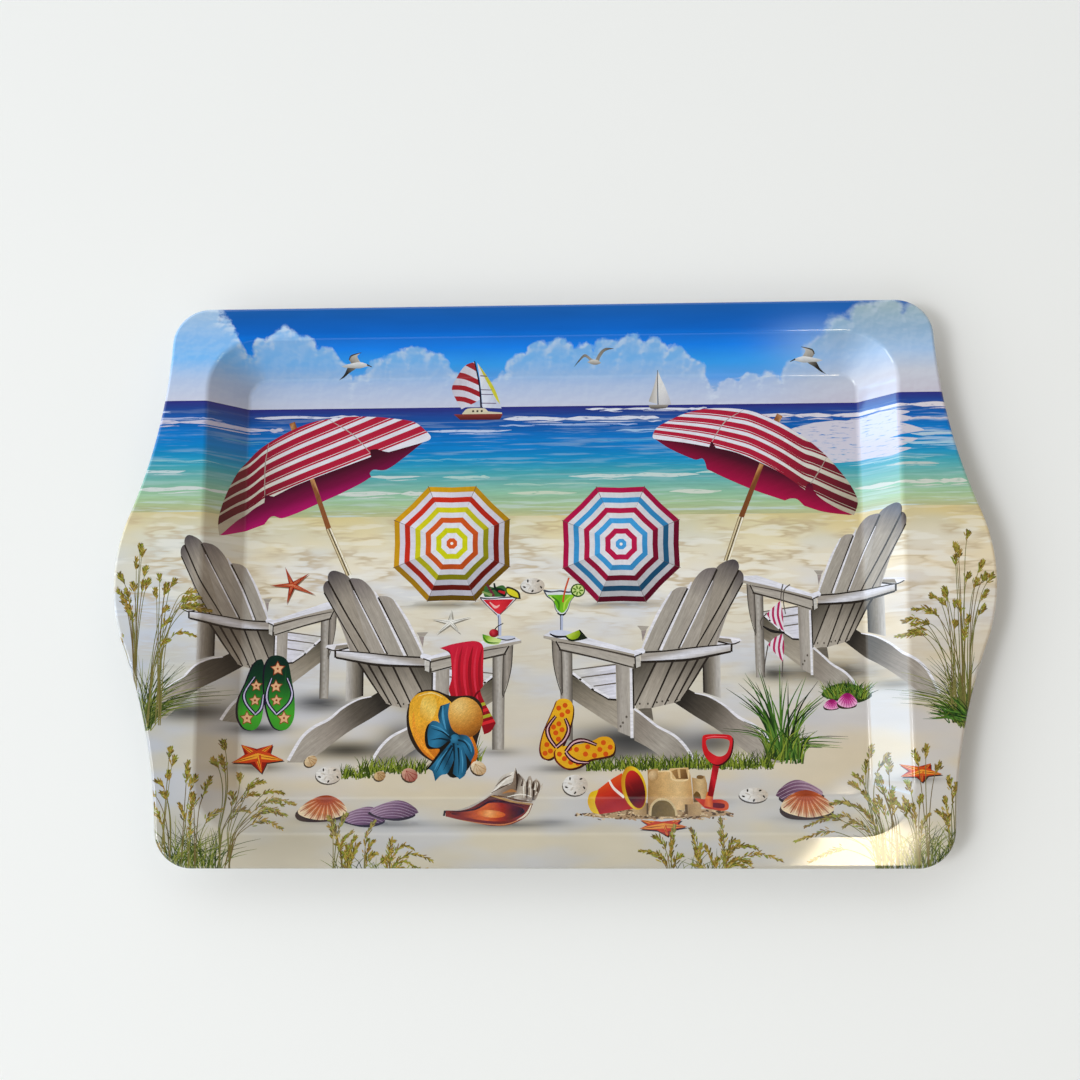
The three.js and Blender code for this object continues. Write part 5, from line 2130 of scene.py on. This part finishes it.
# -------------------------------------------------------------------------------------------------
# Materials
# -------------------------------------------------------------------------------------------------
class Nodes:
    """Short calls for building the node tree of a material or of the world."""

    def __init__(self, owner):
        owner.use_nodes = True
        self.owner = owner
        self.tree = owner.node_tree
        self.tree.nodes.clear()

    def add(self, kind, inputs=None, **settings):
        """A node with its settings and inputs, each input a constant or another node's output."""
        node = self.tree.nodes.new("ShaderNode" + kind)
        for name, value in settings.items():
            setattr(node, name, value)
        for key, value in (inputs or {}).items():
            socket = node.inputs[key]
            if isinstance(value, bpy.types.NodeSocket):
                self.tree.links.new(value, socket)
            else:
                socket.default_value = value
        return node

    def attribute(self, name, output):
        """One output of a mesh attribute."""
        return self.add("Attribute", attribute_name=name).outputs[output]

    def maths(self, operation, a, b=0.0, c=0.0):
        """A sum on up to three values."""
        return self.add("Math", {0: a, 1: b, 2: c}, operation=operation).outputs[0]

    def noise(self, vector, scale, detail=3.0, offset=(0, 0, 0)):
        """Noise from 0 to 1, at so many bumps per unit along each axis."""
        place = self.add("VectorMath", {0: vector, 1: scale, 2: offset}, operation="MULTIPLY_ADD")
        inputs = {"Vector": place.outputs[0], "Scale": 1.0, "Detail": detail, "Roughness": 0.55}
        return self.add("TexNoise", inputs).outputs["Fac"]

    def step(self, value, low, high):
        """A smooth step from 0 to 1."""
        inputs = {"Value": value, "From Min": low, "From Max": high}
        return self.add("MapRange", inputs, interpolation_type="SMOOTHSTEP").outputs[0]

    def mix(self, share, a, b):
        """Colour a, with so much of colour b."""
        return self.add("Mix", {0: share, 6: a, 7: b}, data_type="RGBA").outputs[2]

    def scaled(self, colour, share):
        """A colour, darker or lighter by a share."""
        return self.add("VectorMath", {0: colour, "Scale": share}, operation="SCALE").outputs[0]

    def surface(self, colour, roughness, normal, **constants):
        """The material, with a principled shader whose other values are set on its own sockets."""
        inputs = {"Base Color": colour, "Roughness": roughness, "Normal": normal}
        for name, value in constants.items():
            inputs[name.replace("_", " ")] = value
        shader = self.add("BsdfPrincipled", inputs)
        self.add("OutputMaterial", {"Surface": shader.outputs[0]})
        return self.owner


def varnished(nodes, colour):
    """Ink under a gloss varnish that isn't quite flat."""
    place = nodes.add("TexCoord").outputs["Object"]
    waves = nodes.noise(place, (28, 28, 28), 1.0)
    peel = nodes.noise(place, (900, 900, 900), 1.0)
    height = nodes.maths("MULTIPLY_ADD", peel, 0.012, waves)
    bump = nodes.add("Bump", {"Strength": 0.35, "Distance": 0.00022, "Height": height}).outputs[0]
    roughness = nodes.maths("MULTIPLY_ADD", nodes.noise(place, (240, 240, 240), 2.0), 0.05, 0.045)
    return nodes.surface(colour, roughness, bump, IOR=1.52)


# What each kind of picture element looks like close up: layers of noise, each with its bumps per
# millimetre along and across the grain and how far it darkens or lightens the ink.
GRAINS = {
    "wood": [(0.07, 0.9, 0.30), (0.25, 4.5, 0.34), (0.5, 0.5, 0.12)],
    "cloth": [(0.12, 0.5, 0.16), (3.2, 3.2, 0.16)],
    "straw": [(0.5, 2.8, 0.55), (2.6, 0.7, 0.35), (0.15, 0.15, 0.2)],
    "shell": [(0.35, 1.3, 0.3), (1.4, 1.4, 0.22)],
    "leaf": [(0.12, 2.5, 0.4), (0.5, 0.5, 0.25)],
    "feather": [(0.5, 2.0, 0.2)],
    "glass": [(0.5, 0.5, 0.12)],
    "plastic": [(0.15, 0.15, 0.14), (1.6, 1.6, 0.06)],
    "sandstone": [(0.35, 0.35, 0.25), (2.2, 2.2, 0.36)],
    "plain": [(0.2, 0.2, 0.1)],
}


def ink_material(kind):
    """Printed ink with the grain of one kind of picture element."""
    nodes = Nodes(bpy.data.materials.new("ink_" + kind))
    colour, grain = nodes.attribute("ink", "Color"), nodes.attribute("grain", "Vector")
    for along, across, amount in GRAINS[kind]:
        layer = nodes.noise(grain, (along, across, 1))
        colour = nodes.scaled(colour, nodes.maths("MULTIPLY_ADD", layer, 2 * amount, 1 - amount))
    return varnished(nodes, colour)


def backdrop_nodes(name):
    """What a backdrop's ink starts from: nodes, colour, place on the sheet, its x and density."""
    nodes = Nodes(bpy.data.materials.new(name))
    grain = nodes.attribute("grain", "Vector")
    x, _, density = nodes.add("SeparateXYZ", {0: grain}).outputs
    place = nodes.add("VectorMath", {0: grain, 1: (1, 1, 0)}, operation="MULTIPLY").outputs[0]
    return nodes, nodes.attribute("ink", "Color"), place, x, density


def sky_material():
    """Blue sky, with ragged clouds that are lit from one side."""
    nodes, ink, level, x, cover = backdrop_nodes("ink_sky")
    cloud_colour = nodes.attribute("under", "Color")
    lumps = nodes.noise(level, (0.16, 0.19, 0), 5.0)
    smooth = nodes.noise(level, (0.15, 0.2, 0), 2.0)
    lit = nodes.noise(level, (0.15, 0.2, 0), 2.0, (0.14, -0.22, 0))
    ragged = nodes.maths("MULTIPLY_ADD", nodes.maths("SUBTRACT", lumps, 0.5), 0.8, cover)
    blur = nodes.step(x, 86, 126)
    cloud = nodes.step(ragged, -0.04, nodes.maths("MULTIPLY_ADD", blur, 0.3, 0.16))
    rim = nodes.step(ragged, 0.62, 0.1)
    relief = nodes.step(nodes.maths("SUBTRACT", smooth, lit), -0.13, 0.15)
    bright = nodes.maths("MULTIPLY", relief, nodes.maths("MULTIPLY_ADD", rim, 0.42, 0.11))
    white = nodes.mix(bright, cloud_colour, (0.84, 0.91, 1.0, 1))
    streaks = nodes.noise(level, (0.02, 0.12, 0), 4.0)
    haze = nodes.scaled(ink, nodes.maths("MULTIPLY_ADD", streaks, 0.3, 0.87))
    return varnished(nodes, nodes.mix(cloud, haze, white))


def sea_material():
    """Streaky water with flecks of foam."""
    nodes, ink, level, _, foam = backdrop_nodes("ink_sea")
    swell = nodes.noise(level, (0.02, 0.5, 0), 4.0)
    chop = nodes.noise(level, (0.12, 1.8, 0), 3.0)
    colour = nodes.scaled(ink, nodes.maths("MULTIPLY_ADD", swell, 0.5, 0.76))
    colour = nodes.scaled(colour, nodes.maths("MULTIPLY_ADD", chop, 0.36, 0.83))
    flecks = nodes.step(nodes.noise(level, (0.03, 0.55, 0), 5.0, (3.1, 0, 0)), 0.5, 0.64)
    share = nodes.maths("MULTIPLY", flecks, nodes.maths("MULTIPLY", foam, 0.8))
    return varnished(nodes, nodes.mix(share, colour, (0.66, 0.78, 0.84, 1)))


def foam_material():
    """Foam that is torn, so that the sea shows through."""
    nodes, ink, level, _, _ = backdrop_nodes("ink_foam")
    torn = nodes.step(nodes.noise(level, (0.22, 1.3, 0), 5.0), 0.26, 0.46)
    return varnished(nodes, nodes.mix(torn, nodes.attribute("under", "Color"), ink))


def sand_material():
    """Gritty sand, warm and cool in turns, with ripples where its density says so."""
    nodes, ink, level, _, depth = backdrop_nodes("ink_sand")
    drift = nodes.noise(level, (0.025, 0.05, 0), 3.0)
    grit = nodes.noise(level, (3.0, 3.0, 0), 2.0)
    colour = nodes.scaled(ink, nodes.maths("MULTIPLY_ADD", drift, 0.24, 0.88))
    colour = nodes.scaled(colour, nodes.maths("MULTIPLY_ADD", grit, 0.12, 0.94))
    warm, cool = (
        nodes.add("VectorMath", {0: colour, 1: tint}, operation="MULTIPLY").outputs[0]
        for tint in ((1.07, 1.0, 0.86), (0.98, 1.0, 1.09))
    )
    turns = nodes.step(nodes.noise(level, (0.018, 0.05, 0), 2.0, (1.7, 0.4, 0)), 0.36, 0.6)
    colour = nodes.mix(turns, cool, warm)
    ripple = nodes.noise(level, (0.045, 0.26, 0), 2.0, (0, 0.7, 0))
    patches = nodes.step(nodes.noise(level, (0.05, 0.12, 0), 1.0, (4.1, 2.3, 0)), 0.4, 0.62)
    stroke = nodes.maths("MULTIPLY", nodes.step(ripple, 0.455, 0.51), nodes.step(ripple, 0.63, 0.5))
    crest = nodes.maths("MULTIPLY", nodes.step(ripple, 0.47, 0.38), depth)
    strokes = nodes.maths("MULTIPLY", stroke, patches)
    share = nodes.maths("MULTIPLY", strokes, nodes.maths("MULTIPLY", depth, 0.7))
    colour = nodes.mix(share, colour, (0.56, 0.43, 0.26, 1))
    pale = nodes.maths("MULTIPLY", crest, 0.4)
    return varnished(nodes, nodes.mix(pale, colour, (0.92, 0.90, 0.84, 1)))


def tin_material():
    """Rolled tinplate, faintly streaked along its length."""
    nodes = Nodes(bpy.data.materials.new("tinplate"))
    place = nodes.add("TexCoord").outputs["Object"]
    rolled = nodes.noise(place, (30, 1400, 400), 3.0)
    bloom = nodes.noise(place, (90, 90, 90), 4.0)
    colour = nodes.mix(rolled, (0.50, 0.51, 0.52, 1), (0.66, 0.67, 0.68, 1))
    colour = nodes.scaled(colour, nodes.maths("MULTIPLY_ADD", bloom, 0.2, 0.9))
    roughness = nodes.maths("MULTIPLY_ADD", nodes.maths("ADD", rolled, bloom), 0.12, 0.22)
    bump = nodes.add("Bump", {"Strength": 0.2, "Distance": 0.00005, "Height": rolled}).outputs[0]
    return nodes.surface(colour, roughness, bump, Metallic=1.0)


materials = {kind: ink_material(kind) for kind in GRAINS}
materials.update(sky=sky_material(), sea=sea_material(), foam=foam_material(), sand=sand_material())
tin_shell(tin_material())
printed_edge(materials["plain"])
print_scene(materials)


# -------------------------------------------------------------------------------------------------
# Floor, light and camera
# -------------------------------------------------------------------------------------------------
FLOOR_REACH = 40  # metres each way, far beyond the view
FLOOR_Z = -0.0001  # just under the tray

# Soft lamps: name, place, target, width and height in metres, radiance, colour.
PALE_BLUE = (0.44, 0.72, 1.0)
LAMPS = [
    ("key", (-1.45, -0.4, 2.1), (0, 0, 0), 0.8, 0.8, 9.0, (0.93, 0.97, 1.0)),
    ("key_centre", (-1.4, -0.39, 2.03), (0, 0, 0), 0.2, 0.2, 26.0, (0.95, 0.98, 1.0)),
    ("window_far_top", (-2.0, 0.64, 0.3), (0, 0.1, 0.02), 0.1, 0.2, 7.0, (0.22, 0.56, 1.0)),
    ("window_far", (-2.0, 0.505, 0.3), (0, 0.1, 0.02), 0.165, 0.2, 3.0, (0.18, 0.52, 1.0)),
    ("window_middle", (-2.0, 0.24, 0.3), (0, 0.1, 0.02), 0.36, 0.2, 1.0, PALE_BLUE),
    ("window_near", (-2.0, -0.08, 0.3), (0, 0, 0.02), 0.28, 0.2, 4.2, PALE_BLUE),
    ("warm_lamp", (0.52, -0.32, 2.0), (0, 0, 0), 0.27, 0.16, 24.0, (1.0, 0.84, 0.56)),
]

CAMERA_DISTANCE = 0.55  # metres, from the middle of the flange's level
CAMERA_TILT, CAMERA_YAW, CAMERA_ROLL = (math.radians(angle) for angle in (7.77, 1.94, 0.16))
FOCAL_LENGTH, SENSOR_WIDTH = 41.62, 36  # millimetres
LENS_SHIFT = (-0.0093, 0.035)
NEAR_CLIP = 0.01


def floor():
    """A pale, matt floor."""
    nodes = Nodes(bpy.data.materials.new("studio_floor"))
    place = nodes.add("TexCoord").outputs["Object"]
    tone = nodes.maths("MULTIPLY_ADD", nodes.noise(place, (3, 3, 3), 2.0), 0.02, 0.95)
    colour = nodes.scaled((1.0, 0.998, 0.99), tone)
    bump = nodes.add("Bump", {"Strength": 0.02, "Distance": 0.0001, "Height": tone}).outputs[0]
    material = nodes.surface(colour, 0.85, bump)
    mesh = bpy.data.meshes.new("studio_floor")
    signs = [(-1, -1), (1, -1), (1, 1), (-1, 1)]
    corners = [(x * FLOOR_REACH, y * FLOOR_REACH, FLOOR_Z) for x, y in signs]
    mesh.from_pydata(corners, [], [(0, 1, 2, 3)])
    mesh.materials.append(material)
    piece = bpy.data.objects.new("studio_floor", mesh)
    bpy.context.scene.collection.objects.link(piece)


def panel(name, place, target, width, height, radiance, colour):
    """A soft rectangular lamp, in metres, of a given radiance."""
    lamp = bpy.data.lights.new(name, "AREA")
    lamp.shape = "RECTANGLE"
    lamp.size, lamp.size_y = width, height
    lamp.energy = radiance * math.pi * width * height
    lamp.color = colour
    holder = bpy.data.objects.new(name, lamp)
    bpy.context.scene.collection.objects.link(holder)
    holder.location = place
    holder.rotation_euler = (Vector(target) - Vector(place)).to_track_quat("-Z", "Y").to_euler()


def studio():
    """A pale surround that is dim overhead, so that no haze lies on the print, and the lamps."""
    world = bpy.data.worlds.new("studio")
    bpy.context.scene.world = world
    nodes = Nodes(world)
    direction = nodes.add("TexCoord").outputs["Generated"]
    x, y, z = nodes.add("SeparateXYZ", {0: direction}).outputs

    # Shares of the light: none above 60 degrees, more from the left, little from straight in front
    # and little from the near right.
    low = nodes.step(z, 0.86, 0.66)
    left = nodes.maths("MULTIPLY_ADD", x, -0.66, 1.0)
    front = nodes.maths("MULTIPLY_ADD", nodes.step(y, -0.96, -0.7), 0.85, 0.15)
    corner = nodes.maths("MULTIPLY", nodes.step(x, 0.05, 0.35), nodes.step(y, -0.12, -0.45))
    near_right = nodes.maths("MULTIPLY_ADD", corner, -0.85, 1.0)
    lit = nodes.maths(
        "MULTIPLY", nodes.maths("MULTIPLY", low, front), nodes.maths("MULTIPLY", left, near_right),
    )
    strength = nodes.maths("ADD", lit, 0.12)

    # The surround turns brown towards the right.
    brown = nodes.step(x, 0.25, 0.95)
    colour = nodes.mix(brown, (0.93, 0.98, 1.0, 1), (0.82, 0.64, 0.48, 1))
    background = nodes.add("Background", {"Color": colour, "Strength": strength})
    nodes.add("OutputWorld", {"Surface": background.outputs[0]})
    for lamp in LAMPS:
        panel(*lamp)


def camera():
    """A camera almost straight above the tray."""
    lens = bpy.data.cameras.new("camera")
    lens.lens = FOCAL_LENGTH
    lens.sensor_width = SENSOR_WIDTH
    lens.shift_x, lens.shift_y = LENS_SHIFT
    lens.clip_start = NEAR_CLIP
    holder = bpy.data.objects.new("camera", lens)
    bpy.context.scene.collection.objects.link(holder)
    yaw, tilt = Matrix.Rotation(CAMERA_YAW, 4, "Y"), Matrix.Rotation(CAMERA_TILT, 4, "X")
    turn = yaw @ tilt @ Matrix.Rotation(-CAMERA_ROLL, 4, "Z")
    rim = Matrix.Translation((0, 0, RIM_Z / PER_METRE))
    holder.matrix_world = rim @ turn @ Matrix.Translation((0, 0, CAMERA_DISTANCE))
    bpy.context.scene.camera = holder


floor()
studio()
camera()
bpy.context.scene.view_settings.view_transform = "Standard"
